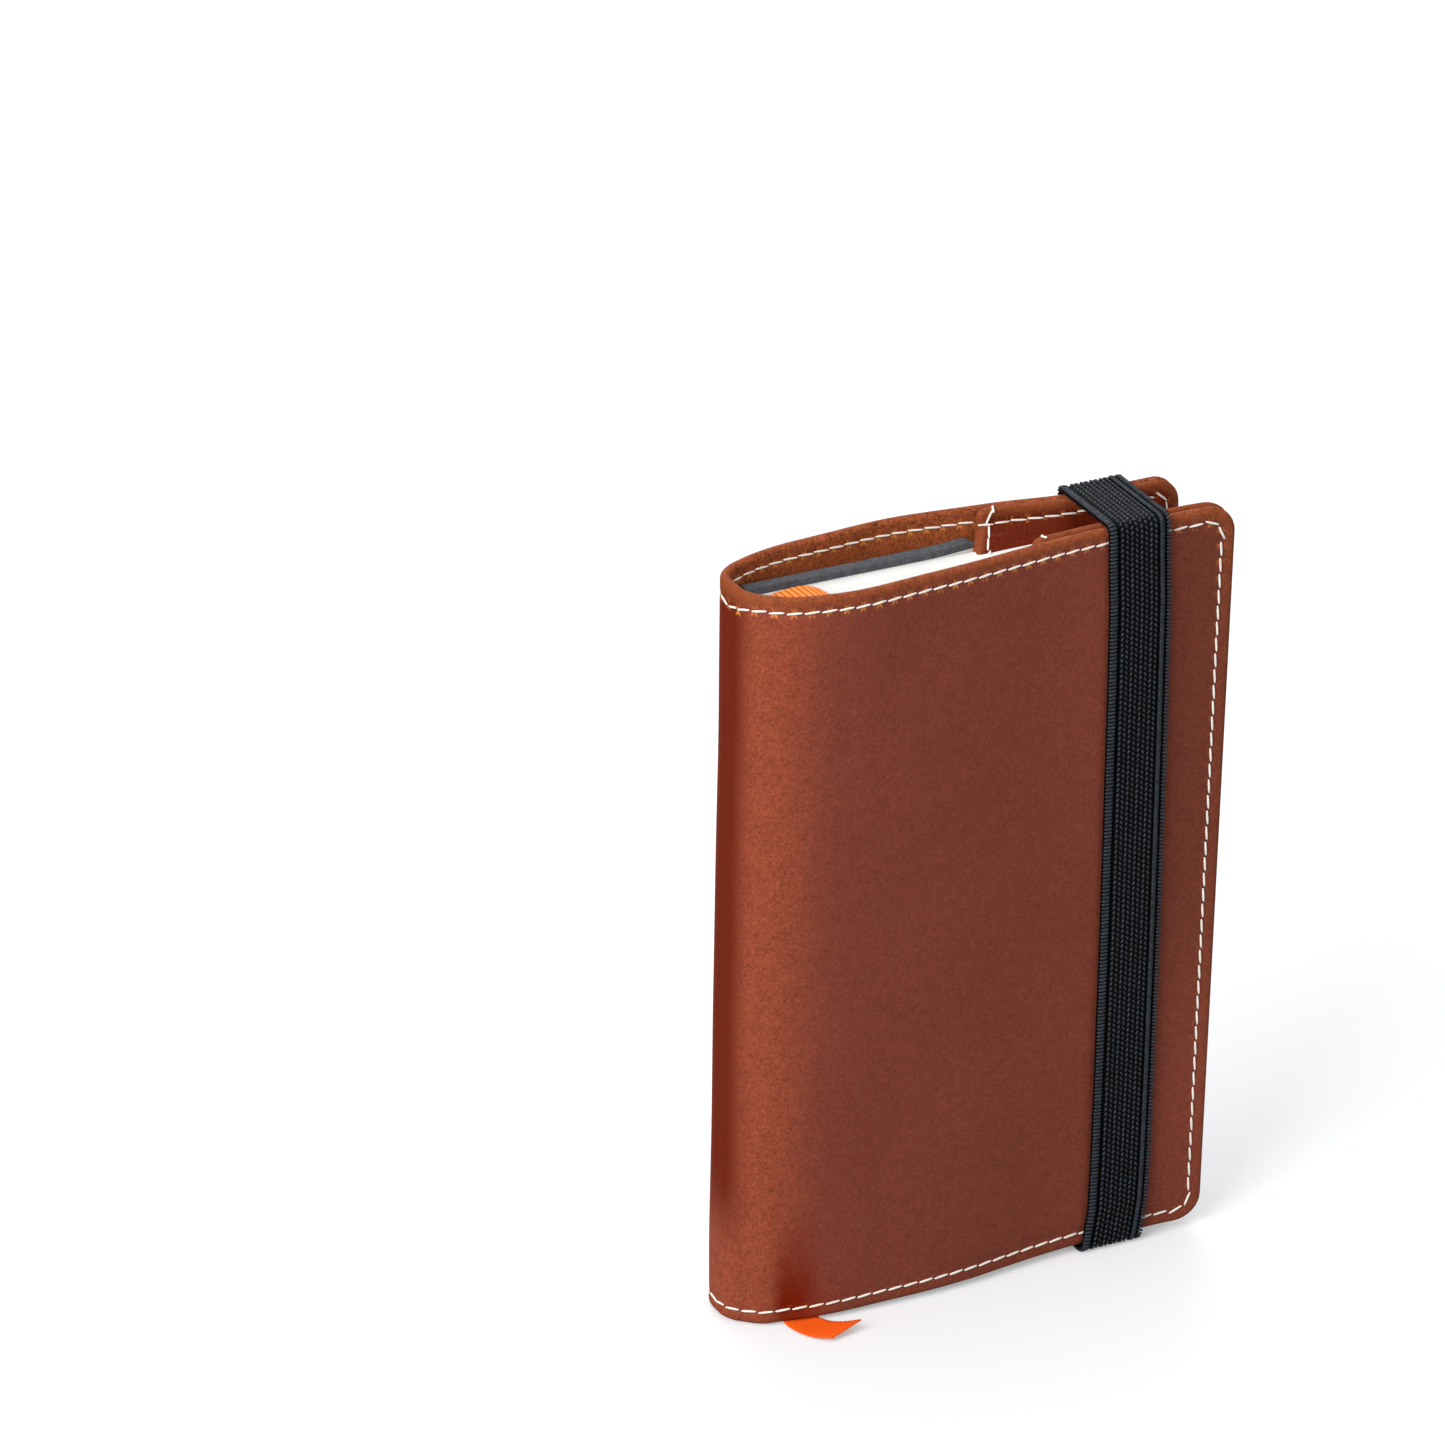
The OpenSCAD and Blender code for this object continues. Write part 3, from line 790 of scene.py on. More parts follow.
@cache
def weave_tree():
    """Knots in staggered columns, with a ribbed cord on one edge and teeth on the other."""
    t = Tree("elastic_weave", ("Column Pitch", "Row Pitch", "Knot Slant", "Rib Pitch", *YARN),
             whole=("Columns",))
    across = t.named("across")

    def laid(pitch, copies, offset_of, shape, keep=None, slant=None):
        """Copies side by side across the elastic, in rows a pitch apart."""
        spots = t.node("GeometryNodeCurveToPoints", {"Curve": t.evenly(pitch)},
                       mode="EVALUATED")
        points, tangent = (Wire(t, spots.outputs[label]) for label in ("Points", "Tangent"))
        held = t.stored(points, "ahead", tangent, "FLOAT_VECTOR")
        counted = t.stored(held, "order", t.add("GeometryNodeInputIndex"), "INT")
        many = t.node("GeometryNodeDuplicateElements", {
            "Geometry": counted, "Amount": copies}, domain="POINT")
        number = Wire(t, many.outputs["Duplicate Index"])
        offset = t.add("ShaderNodeVectorMath", {
            "Vector": across, "Scale": offset_of(number)}, operation="SCALE")
        moved = t.add("GeometryNodeSetPosition", {
            "Geometry": Wire(t, many.outputs["Geometry"]), "Offset": offset})
        if keep is not None:
            moved = t.add("GeometryNodeDeleteGeometry", {
                "Geometry": moved, "Selection": keep(t.named("order", "INT"), number)},
                domain="POINT")
        if slant is not None:
            slant = ((number % 2) * 2 - 1) * slant
        return t.copies(moved, shape, t.stand(t.named("ahead"), slant))

    knot = t.rod(t["Knot Length"], t["Knot Width"], t["Knot Height"], sides=6, rings=5)
    rib = t.rod(t["Rib Pitch"] * 0.84, t["Rib Width"], t["Rib Height"],
                sides=12, rings=6, crosswise=True)
    tooth = t.rod(t["Tooth Length"], t["Tooth Width"], t["Rib Height"] * 0.85,
                  rings=5, crosswise=True)
    cord = t.rod(t["Rib Pitch"] * 0.5, t["Cord Width"], t["Rib Height"], rings=4)
    columns = t["Columns"]
    parts = [
        laid(t["Row Pitch"], columns,
             lambda n: (n - (columns - 1) * 0.5) * t["Column Pitch"] + t["Column Shift"],
             knot, lambda order, n: ((order + n) % 2).over(0.5), t["Knot Slant"]),
        laid(t["Rib Pitch"], 1, lambda n: n + t["Rib Middle"], rib),
        laid(t["Rib Pitch"], 1, lambda n: n + t["Tooth Middle"], tooth),
        laid(t["Rib Pitch"] * 0.5, 1, lambda n: n + t["Cord Middle"], cord)]
    joined = t.node("GeometryNodeJoinGeometry")
    for part in parts:
        t.put(joined.inputs[0], part)
    return t.finish(Wire(t, joined.outputs[0]))


def apply_tree(thing, tree, values):
    """Runs a node group on an object, and keeps the result as a plain mesh."""
    modifier = thing.modifiers.new("Nodes", "NODES")
    modifier.node_group = tree
    ids = {i.name: i.identifier for i in tree.interface.items_tree
           if i.item_type == "SOCKET" and i.in_out == "INPUT"}
    for label, value in values.items():
        modifier[ids[label]] = value
    bpy.context.view_layer.update()
    graph = bpy.context.evaluated_depsgraph_get()
    mesh = bpy.data.meshes.new_from_object(thing.evaluated_get(graph))
    if not mesh.vertices:
        raise RuntimeError(f"{thing.name}: the node group made nothing")
    thing.modifiers.clear()
    old = thing.data
    thing.data = mesh
    mesh.name = thing.name
    bpy.data.meshes.remove(old)
    spare = ("out", "across", "ahead", "order", "reach")
    for attribute in [a.name for a in mesh.attributes if a.name in spare]:
        mesh.attributes.remove(mesh.attributes[attribute])
    return thing


def store(mesh, label, values):
    """Keeps a number or a vector for each point of a mesh."""
    values = np.array(values, np.float32)
    kind, field = ("FLOAT", "value") if values.ndim == 1 else ("FLOAT_VECTOR", "vector")
    mesh.attributes.new(label, kind, "POINT").data.foreach_set(field, values.ravel())


def path_object(name, runs):
    """Edges along each run, with their outward directions and their reach."""
    points, edges, outs, reaches = [], [], [], []
    for line, out, reach in runs:
        ahead = unit(np.gradient(line, axis=0))
        edges.extend((len(points) + i, len(points) + i + 1) for i in range(len(line) - 1))
        points.extend(map(tuple, line))
        outs.extend(unit(out - ahead * (out * ahead).sum(1)[:, None]))
        reaches.extend([reach] * len(line))
    mesh = bpy.data.meshes.new(name)
    mesh.from_pydata(points, edges, [])
    store(mesh, "out", outs)
    store(mesh, "reach", reaches)
    return new_object(name, mesh)


# ---- the hide and its pockets

def undulate(s, z, q):
    """Slow waves of the soft hide, none at its rim."""
    wave = np.array([noise.noise(Vector((a * WAVE_ALONG, b * WAVE_UP, WAVE_SLICE)))
                     for a, b in zip(np.ravel(s), np.ravel(z))]).reshape(np.shape(s))
    return WAVE_HEIGHT * wave * ease(q, 3.6, 10)


def settled(half, s, z, u, v):
    """Plan points moved the way the soft cover stands: its top open, its bottom closed."""
    flat, high = half.plan_u(s), z / COVER_H
    if half is BACK:
        return u, v + BACK_SPLAY * ease(flat, 20, 22) * (1 - ease(flat, 58, 16)) * high
    tilt = 2 * high - 1
    reach = 1 - np.where(tilt > 0, ease(flat, 18, 18), ease(flat, 26, 24))
    out = FRONT_TILT * ease(flat, 1.5, 7) * reach * tilt
    fade = np.maximum(1 - high, 0) ** 2.5
    tuck = FRONT_TUCK * ease(-v, 0, 3.5) * (1 - ease(flat, 2.5, 4.5)) * fade
    lean = FRONT_LEAN * ease(flat, 50, 45) * (1 - high)
    return u - lean, v - out + tuck


def nose_dip(half, s, z, q):
    """The top seam sits a little lower where it rounds the nose of the spine."""
    nose = (1 - ease(half.plan_u(s), 0.75, 0.8)) * (z > COVER_H / 2)
    return nose * ease(q, 0, 2.2) * (1 - ease(q, 4, 8))


def hide_profile():
    """Inset and height round the hide's edge: its face, rim and turned edge."""
    face = [(TURNED_W, 0.65), (6.5, 0.65), (5.0, 0.66), (3.9, 0.64), (3.3, 0.56),
            (SEAM, 0.48), (2.35, 0.56), (1.8, 0.66), (1.3, 0.67)]
    rim = [(HALF_RIM * (1 - math.sin(a)) + 0.05 * (1 + math.cos(a)) * math.sin(a),
            RIM_MIDDLE + HALF_RIM * math.cos(a)) for a in np.linspace(0, np.pi, 13)]
    inside = [(1.5, -1.28), (2.4, -1.27), (SEAM, -1.14), (3.2, -1.25), (3.8, -1.28),
              (6.2, -1.24), (8.3, -1.2), (TURNED_W, -0.65)]
    return face + rim + inside


def hide_leaf(half, waves=True):
    """One half of the hide, with or without its waves."""
    def place(s, z, d, q):
        if waves:
            d = d + undulate(s, z, q)
        u, v = settled(half, s, z, *half.at(s, d))
        return world(u, v, lifted(half, s, z) - nose_dip(half, s, z, q))

    s_values = (spread(0, 16, 0.45) + spread(16, 36, 0.9)[1:]
                + spread(36, half.length, 1.5)[1:])
    return Leaf(s_values, COVER_H, CORNER_R, hide_profile(), place)


def keep_plan(thing):
    """Stores where each point lies in the closed cover, for the hide's finish."""
    mesh = thing.data
    points = np.empty(3 * len(mesh.vertices), np.float32)
    mesh.vertices.foreach_get("co", points)
    store(mesh, "plan_u", points[0::3] / MM + FRAME_U)
    store(mesh, "plan_v", points[1::3] / MM + FRAME_V)


def bend(thing, half, cover_end, spine_end):
    """Bends a piece of one half between its cover and the spine."""
    if half is BACK:
        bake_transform(thing, "back_cover", "spine", cover_end, spine_end)
    else:
        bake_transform(thing, "spine", "front_cover", spine_end, cover_end)


def bend_hide(thing, half):
    """The bend of what is sewn: it starts where the cover leaves the spine's fold."""
    bend(thing, half, plan(10.5, 11.0 * half.side), plan(0.9, 2.2 * half.side))


def pocket_leaf(half):
    """A pocket, drawn towards the spine and pressed in by the board under it."""
    start = half.s_at(half.pocket_u)
    border = RIM_MIDDLE - HALF_RIM - POCKET_HALF - 0.27
    edge_w, corner_r, inside_v = 0.7, 1.8, 4.2

    def place(s, z, d, q):
        near = s - start
        turned = np.sqrt(1 - (1 - np.clip(near / edge_w, 0.08, 1)) ** 2)
        d = d * turned * (1.25 - 0.25 * ease(near, 4.6, 0.8))
        round_top = corner_r * (
            1 - np.sqrt(1 - (1 - np.clip(near / corner_r, 0, 1)) ** 2))
        z = z + (COVER_H / 2 - z) * round_top / (COVER_H / 2)
        # below its border, the leaf is drawn towards the spine by the board under it
        drawn = 4.8 * ease(q, 2.4, 3.4) - 2.4 * ease(q, 8, 24)
        s = s - drawn * (1 - ease(near, 0, 28))
        u0, v0 = settled(half, s, z, *half.at(s, border + d))
        # its top bulges over the board's edge and presses the pages together
        bulge = 2.2 * ease(z, 128, 14) * (1 - ease(half.plan_u(s), 66, 10))
        leaf_v = half.side * (inside_v - bulge + d)
        u1, _ = settled(half, s, z, half.plan_u(s), leaf_v)
        down = ease(q, 2.2, 3.6)
        high = lifted(half, s, z) + half.pocket_proud * ease(z, 143.5, 2.5)
        return world(u0 + (u1 - u0) * down, v0 + (leaf_v - v0) * down, high)

    s_values = [start + x for x in (0, 0.06, 0.15, 0.3, 0.5, 0.75, 1.1, 1.5, 2.0, 2.7)
                ] + [start + x for x in spread(3.5, half.length - start - 0.35, 1.4)]
    face = [(q, 0) for q in (TURNED_W, 7.4, 6.6, 6.1, 5.6, 5.1, 4.6)] + [
        (4.1, 0.02), (3.7, 0.05), (3.4, 0.04), (SEAM, -0.03), (2.6, 0.12), (2.2, 0.2),
        (1.6, 0.25)]
    profile = ([(q, POCKET_HALF + more) for q, more in face]
               + half_round(POCKET_HALF + 0.25, 8)
               + [(q, -POCKET_HALF - more) for q, more in face[::-1]])
    return Leaf(s_values, COVER_H, CORNER_R, profile, place)


# ---- the stitches

def seam_run(leaf, height, reach=1.0, span=None):
    """Stitch middles along a leaf's seam at a height on its face, with their directions."""
    pitch = sizes().stitch_pitch / MM
    run = leaf.run_at(SEAM)
    start, stop = span or (0, run[-1])
    last = stop - pitch / 2
    even = np.arange(start + pitch / 2, stop - pitch * 0.45, 0.4)
    even = np.append(even, last) if last > even[-1] else even
    s, z = (np.interp(even, run, column) for column in leaf.ring(SEAM))
    base, off = (leaf.place(s, z, level, np.full(len(s), SEAM))
                 for level in (height, height + np.sign(height)))
    return base, unit(off - base), reach


def pocket_edge_runs(pocket, half):
    """The stitches along a pocket's free edge, and the one over its rim."""
    z = COVER_H - 1.5 - np.arange(0, COVER_H - 6, 0.25)
    q = np.minimum(z, COVER_H - z)
    s = pocket.s0 + 2.1 + 0.7 * ease(q, 2, 4)
    face = -POCKET_HALF - 0.1 - 0.25 * (1 - ease(q, 1.6, 2))
    base, off = (pocket.place(s, z, face - more, q) for more in (0, 1))
    rim, shift, reach = (((-0.3, -1.4), (0.9, 0.5), 0.55) if half is BACK
                         else ((0.35, -0.05), (0.2, 0.0), 0.25))
    top = pocket.place(s[:2] + shift, np.full(2, COVER_H + 0.1), np.array(rim), np.zeros(2))
    return [(base, (off - base) / MM, 1.1), (top, np.tile([0.0, 0.0, 1.0], (2, 1)), reach)]


def stitch(name, runs, slant):
    s = sizes()
    return apply_tree(path_object(name, runs), stitch_tree(), {
        "Pitch": s.stitch_pitch, "Length": s.stitch_length, "Width": s.stitch_width,
        "Height": s.stitch_height, "Slant": slant, "Material": finish_of("thread")})


# ---- the notebook

def board_leaf(half):
    """A hard board. It stands lower inside its pocket, and steps out to it."""
    high, endpaper_t = BOARD_TOP - FOOT, 0.15

    def place(s, z, d, q):
        drop = 1.2 * ease(s, 50.3, 2.2) + (0.0 if half is BACK else 0.9)
        inner = PAGE_OUT + 0.05 + 0.95 * ease(s, 41.5, 12.0)
        return world(s, half.side * (inner + endpaper_t + BOARD_HALF + d),
                     FOOT + z * (1 - drop / high))

    return Leaf(spread(half.board_near, half.board_edge, 1.5), high, BOARD_R,
                squared(BOARD_HALF, (BOARD_R + 0.5, 3.0, 1.6)), place, 3.0)


def page_leaf(half):
    """Half of the pages, a little clear of the middle, where the ribbon lies."""
    gap, near, far = 0.04, 3.35, half.board_edge - 1.5
    thick = (PAGE_OUT - gap) / 2

    def place(s, z, d, q):
        return world(s, half.side * (PAGE_OUT - thick + d), z + PAGE_LOW)

    profile = [(BOARD_R, thick), (0.25, thick), (0.08, thick - 0.07), (0, thick - 0.25),
               (0, -thick + 0.1), (0.05, -thick + 0.03), (0.15, -thick), (BOARD_R, -thick)]
    return Leaf(spread(near, 20, 0.6) + spread(20, far, 3)[1:],
                PAGE_TOP - PAGE_LOW, 4.25, profile, place, 6.0)


def strip_leaf():
    """The stiff strip, bowed as the spine is and set in from it."""
    depth, half_width, half_t = HALF_HIDE + 0.7 + 0.4, FOLD_HALF - STRIP_INSET, 0.4
    tiny = 0.01

    def place(s, z, d, q):
        v = s - half_width
        rise = (spine_depth(v + tiny) - spine_depth(v - tiny)) / (2 * tiny)
        slope = np.arctan2(rise, 1.0)
        return world(spine_depth(v) + np.cos(slope) * (depth - d),
                     v - np.sin(slope) * (depth - d), z + FOOT)

    profile = [(1.0, half_t), *half_round(half_t, 6), (1.0, -half_t)]
    return Leaf(spread(0, 2 * half_width, 0.5), BOARD_TOP - FOOT, 0.6, profile, place, 4.0)


# ---- the elastic

BAND_TOP, BAND_BOTTOM = COVER_H + 0.6, 0.55
BAND_FACE, BAND_BACK = -9.4, 8.7        # its middle on the front, and where it is sewn on
TUCK_V, TUCK_IN = 9.45, 7.0             # its ends lie on the back, and go in through slits
TUCK_HIGH, TUCK_LOW = 136.2, 13.2
# (across, out) round its section: a selvedge, the knots' ground, a groove and a selvedge
BAND_SECTION = [
    (-6.3, -0.05), (-6.2, 0.1), (-5.9, 0.16), (-5.1, 0.16), (-4.85, 0.08),
    (-4.75, -0.15), (-4.4, -0.15), (-4.3, 0.18), (-4.1, 0.22), (3.45, 0.22), (3.6, 0.0),
    (3.75, 0.0), (3.9, 0.25), (4.1, 0.3), (4.6, 0.3), (4.85, 0.2), (4.95, 0.05),
    (5.1, 0.05), (5.2, 0.22), (5.6, 0.22), (5.75, 0.05), (5.75, -0.4), (-6.0, -0.45),
    (-6.3, -0.35)]
# (z, u) of its middle: it has crept as it was stretched
BAND_CREEP = [(0, 76.9), (3, 77.4), (9, 78.2), (17, 78.4), (33, 78.55), (66, 78.65),
              (99, 78.5), (116, 78.4), (132, 78.2), (140, 77.8), (148, 77.5)]


def band_middle(z):
    return np.interp(z, *zip(*BAND_CREEP))


def outward(path):
    """Unit vectors to the outer side of a path of (v, z)."""
    ahead = unit(np.gradient(path, axis=0))
    return np.stack([ahead[:, 1], -ahead[:, 0]], -1)


def band_body(name, path):
    """The elastic's core along a path of (v, z), with grooves beside its selvedges."""
    bm = bmesh.new()
    tube(bm, [[bm.verts.new(world(band_middle(z) + a, v + out_v * h, z + out_z * h))
               for a, h in BAND_SECTION]
              for (v, z), (out_v, out_z) in zip(path, outward(path))])
    return finish_mesh(bm, name, "core", sharp=35)


def band_weave(name, path):
    """Knots and ribs on the outer face of a length of elastic."""
    out, proud = outward(path), 0.32
    points = world(band_middle(path[:, 1]), *(path + out * proud).T)
    thing = path_object(name, [(points, np.pad(out, ((0, 0), (1, 0))), 1.0)])
    store(thing.data, "across", np.tile([1.0, 0.0, 0.0], (len(points), 1)))
    s = sizes()
    return apply_tree(thing, weave_tree(), {
        "Columns": s.knot_columns, "Column Pitch": s.knot_pitch, "Row Pitch": s.knot_rows / 2,
        "Knot Slant": s.knot_slant, "Rib Pitch": s.rib_pitch, **YARN,
        "Material": finish_of("elastic")})


# ---- the ribbon

def strip(name, left, right, length, half=RIBBON_HALF):
    """A ribbon between two rows of plan points, of that length, with ribs across it."""
    left, right = world(*left), world(*right)
    across = right - left
    side = unit(across)
    up = unit(np.cross(np.gradient((left + right) / 2, axis=0), across))
    ribs = np.linspace(0, length * MM / sizes().grosgrain_pitch, len(left))
    swells = 0.7 + 0.6 * np.abs(np.sin(np.pi * ribs))
    columns = 8
    bm = bmesh.new()
    ridge = bm.verts.layers.float.new("rib")
    rows = []
    for i, swell in enumerate(swells):
        thick = half * MM * swell
        face = [left[i] + across[i] * k / columns for k in range(columns + 1)]
        row = ([p + up[i] * thick for p in face] + [right[i] + side[i] * thick]
               + [p - up[i] * thick for p in face[::-1]] + [left[i] - side[i] * thick])
        rows.append([bm.verts.new(p) for p in row])
        for vert in rows[-1]:
            vert[ridge] = swell
    tube(bm, rows)
    return finish_mesh(bm, name, "ribbon", sharp=50)


# ---- properties

def distance(label, text, value):
    return bpy.props.FloatProperty(
        name=label, description=text, default=value, unit="LENGTH", precision=5)


def angle(label, text, degrees):
    return bpy.props.FloatProperty(
        name=label, description=text, default=math.radians(degrees), subtype="ANGLE")


def colour(label, text, value):
    return bpy.props.FloatVectorProperty(
        name=label, description=text, subtype="COLOR", size=3, min=0, max=1, default=value)


class CoverSizes(bpy.types.PropertyGroup):
    stitch_pitch: distance("Stitch Pitch", "Distance from one needle hole to the next", 0.00315)
    stitch_length: distance("Stitch Length", "Length of thread that shows", 0.00284)
    stitch_width: distance("Stitch Width", "Width of the thread", 0.00046)
    stitch_height: distance("Stitch Height", "Thickness of the thread", 0.00042)
    stitch_slant: angle("Stitch Slant", "Angle of a stitch to its seam", 5)
    knot_columns: bpy.props.IntProperty(
        name="Knot Columns", description="Columns of knots in the middle of the elastic",
        default=8)
    knot_pitch: distance("Knot Pitch", "Distance between the columns of knots", 0.00098)
    knot_rows: distance("Knot Rows", "Distance between the knots of one column", 0.00104)
    knot_slant: angle("Knot Slant", "Angle of a knot to the elastic's length", 24)
    rib_pitch: distance("Selvedge Rib Pitch", "Distance between the ribs at the edges", 0.00073)
    grosgrain_pitch: distance("Ribbon Rib Pitch", "Distance between the ribbon's ribs", 0.00105)


class CoverColours(bpy.types.PropertyGroup):
    hide: colour("Hide", "Main colour of the hide", (0.227, 0.0525, 0.0325))
    hide_dark: colour("Hide Dark", "Clouds in the hide", (0.194, 0.043, 0.0263))
    hide_pale: colour("Hide Pale", "Single pale grains", (0.52, 0.15, 0.042))
    # partly a painted highlight where the spine bends the hide
    hide_bent_and_highlight: colour("Hide Bent", "Hide where the spine bends it", (0.29, 0.062, 0.032))
    # a painted shade down the spine's nose; also the darker clouds of the pockets
    hide_deep_tone_and_painted_shade: colour("Hide Deep", "Deeper tone between the folds", (0.14, 0.011, 0.001))
    # a painted shade on the front's lower corner beside the spine
    hide_painted_low_shade: colour("Hide Tucked", "Lower corner beside the spine", (0.172, 0.011, 0.001))
    hide_inside: colour("Hide Inside", "Turned edge on the inside", (0.36, 0.09, 0.03))
    # a painted shade beyond the elastic
    hide_painted_far_shade: colour("Hide Waxed", "Tone beyond the elastic", (0.17, 0.041, 0.024))
    # rubbed rims; along the top also a painted highlight
    hide_rubbed_and_highlight: colour("Hide Rubbed", "Hide on the rims", (0.262, 0.064, 0.022))
    hide_pulled: colour("Hide Pulled", "Creases at the needle holes", (0.72, 0.25, 0.05))
    # painted shade in the needle holes
    needle_hole_shade: colour("Needle Hole", "Inside of the holes", (0.03, 0.008, 0.003))
    pocket: colour("Pocket", "Pockets' hide", (0.11, 0.012, 0.003))
    thread: colour("Thread", "Sewing thread", (0.96, 0.9, 0.82))
    thread_soiled: colour("Thread Soiled", "Dirt on the thread", (0.62, 0.42, 0.26))
    elastic: colour("Elastic", "Elastic's yarn", (0.0042, 0.0058, 0.0086))
    # a painted sheen on the elastic's yarn
    elastic_painted_sheen: colour("Elastic Pale", "Lint on the elastic", (0.03, 0.042, 0.06))
    # a painted shade between the elastic's yarns
    elastic_ground: colour("Elastic Ground", "Between the yarns", (0.0015, 0.0018, 0.0022))
    board: colour("Board", "Book cloth", (0.054, 0.057, 0.065))
    board_pale: colour("Board Pale", "Threads of the book cloth", (0.125, 0.13, 0.143))
    paper: colour("Paper", "Pages", (0.9, 0.9, 0.88))
    paper_shade: colour("Paper Shade", "Between the leaves", (0.84, 0.835, 0.82))
    ribbon: colour("Ribbon", "Ribbon's yarn", (1.0, 0.096, 0.003))
    ribbon_pale: colour("Ribbon Pale", "Ribbon's highlights", (1.0, 0.32, 0.06))
    # a painted sheen over the ribbon's head
    ribbon_top_sheen: colour("Ribbon Faded", "Ribbon at its head", (0.82, 0.26, 0.03))
    # a painted shade between the ribbon's ribs
    ribbon_groove_shade: colour("Ribbon Groove", "Between the ribbon's ribs", (0.5, 0.05, 0.003))


# ---- operators

class OBJECT_OT_cover_hide(bpy.types.Operator):
    """Build the hide's two halves with their turned edges"""
    bl_idname = "object.cover_hide"
    bl_label = "Hide"

    def execute(self, context):
        back, front = (hide_leaf(half).build(half.name + "_hide", "hide") for half in HALVES)
        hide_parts("back_leather", "back_turned_edge", "spine_leather",
                    "spine_turned_edges")
        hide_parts("front_leather", "front_turned_edge")
        for thing, half in ((back, BACK), (front, FRONT)):
            keep_plan(thing)
            bend_hide(thing, half)
        return {"FINISHED"}


class OBJECT_OT_cover_pockets(bpy.types.Operator):
    """Build the two pockets that hold the notebook's boards"""
    bl_idname = "object.cover_pockets"
    bl_label = "Pockets"

    def execute(self, context):
        for half in HALVES:
            thing = pocket_leaf(half).build(half.name + "_pocket_leaf", "pocket", near_edge=True)
            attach(thing, half.name + "_cover")
            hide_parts(half.name + "_pocket")
        return {"FINISHED"}


class OBJECT_OT_cover_stitches(bpy.types.Operator):
    """Sew the seams, inside and outside"""
    bl_idname = "object.cover_stitches"
    bl_label = "Stitches"

    def execute(self, context):
        for half in HALVES:
            leaf, pocket = hide_leaf(half, waves=False), pocket_leaf(half)
            total = leaf.run_at(SEAM)[-1]
            # inside, the thread shows on the turned edge and on the pocket
            bare = ((0, pocket.s0), (total - pocket.s0, total))
            runs = [seam_run(leaf, HALF_HIDE),
                    *(seam_run(leaf, -1.24, 1.1, span) for span in bare),
                    seam_run(pocket, -POCKET_HALF - 0.05, 1.1),
                    *pocket_edge_runs(pocket, half)]
            thing = stitch(half.name + "_stitching", runs, -half.side * sizes().stitch_slant)
            bend_hide(thing, half)
            nodes = ["back_thread", "spine_thread"] if half is BACK else ["front_thread"]
            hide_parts(*nodes)
        return {"FINISHED"}


class OBJECT_OT_cover_notebook(bpy.types.Operator):
    """Build the notebook: its boards, stiff spine strip and pages"""
    bl_idname = "object.cover_notebook"
    bl_label = "Notebook"

    def execute(self, context):
        for half in HALVES:
            thing = board_leaf(half).build(half.name + "_hard_board", "board")
            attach(thing, half.name + "_cover")
            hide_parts(half.name + "_board")

            thing = page_leaf(half).build(half.name + "_page_block", "paper")
            bend(thing, half, plan(16, 0), plan(3.6, 0))
            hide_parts(half.name + "_pages")

            paper = frame["nodes"][half.name + "_endpaper"]
            paper.data.materials.clear()
            paper.data.materials.append(finish_of("paper"))

        thing = strip_leaf().build("stiff_spine_strip", "board")
        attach(thing, "spine")
        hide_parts("notebook_spine")
        return {"FINISHED"}


class OBJECT_OT_cover_elastic(bpy.types.Operator):
    """Build the elastic closure and its sewn-in ends"""
    bl_idname = "object.cover_elastic"
    bl_label = "Elastic"

    def execute(self, context):
        loop = rounded_path([(BAND_BACK, BAND_TOP), (BAND_FACE, BAND_TOP),
                             (BAND_FACE, BAND_BOTTOM), (BAND_BACK, BAND_BOTTOM)], 1.5, 0.5)
        body, weave = band_body("elastic_core", loop), band_weave("elastic_knots", loop)
        for thing in (body, weave):
            plan(0, 8.775)
            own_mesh(thing)
            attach(thing, "elastic")
        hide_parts("elastic_front_run", "elastic_top_leg", "elastic_bottom_leg")
        for label, corners in (
                ("top", [(TUCK_IN, TUCK_HIGH), (TUCK_V, TUCK_HIGH), (TUCK_V, BAND_TOP),
                         (BAND_BACK, BAND_TOP)]),
                ("bottom", [(BAND_BACK, BAND_BOTTOM), (TUCK_V, BAND_BOTTOM),
                            (TUCK_V, TUCK_LOW), (TUCK_IN, TUCK_LOW)])):
            line = rounded_path(corners, 0.7, 0.3)
            end = band_body(f"elastic_{label}_tuck", line)
            knots = band_weave(f"elastic_{label}_tuck_knots", line)
            for thing in (end, knots):
                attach(thing, "back_cover")
            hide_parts(f"elastic_{label}_end")
        return {"FINISHED"}


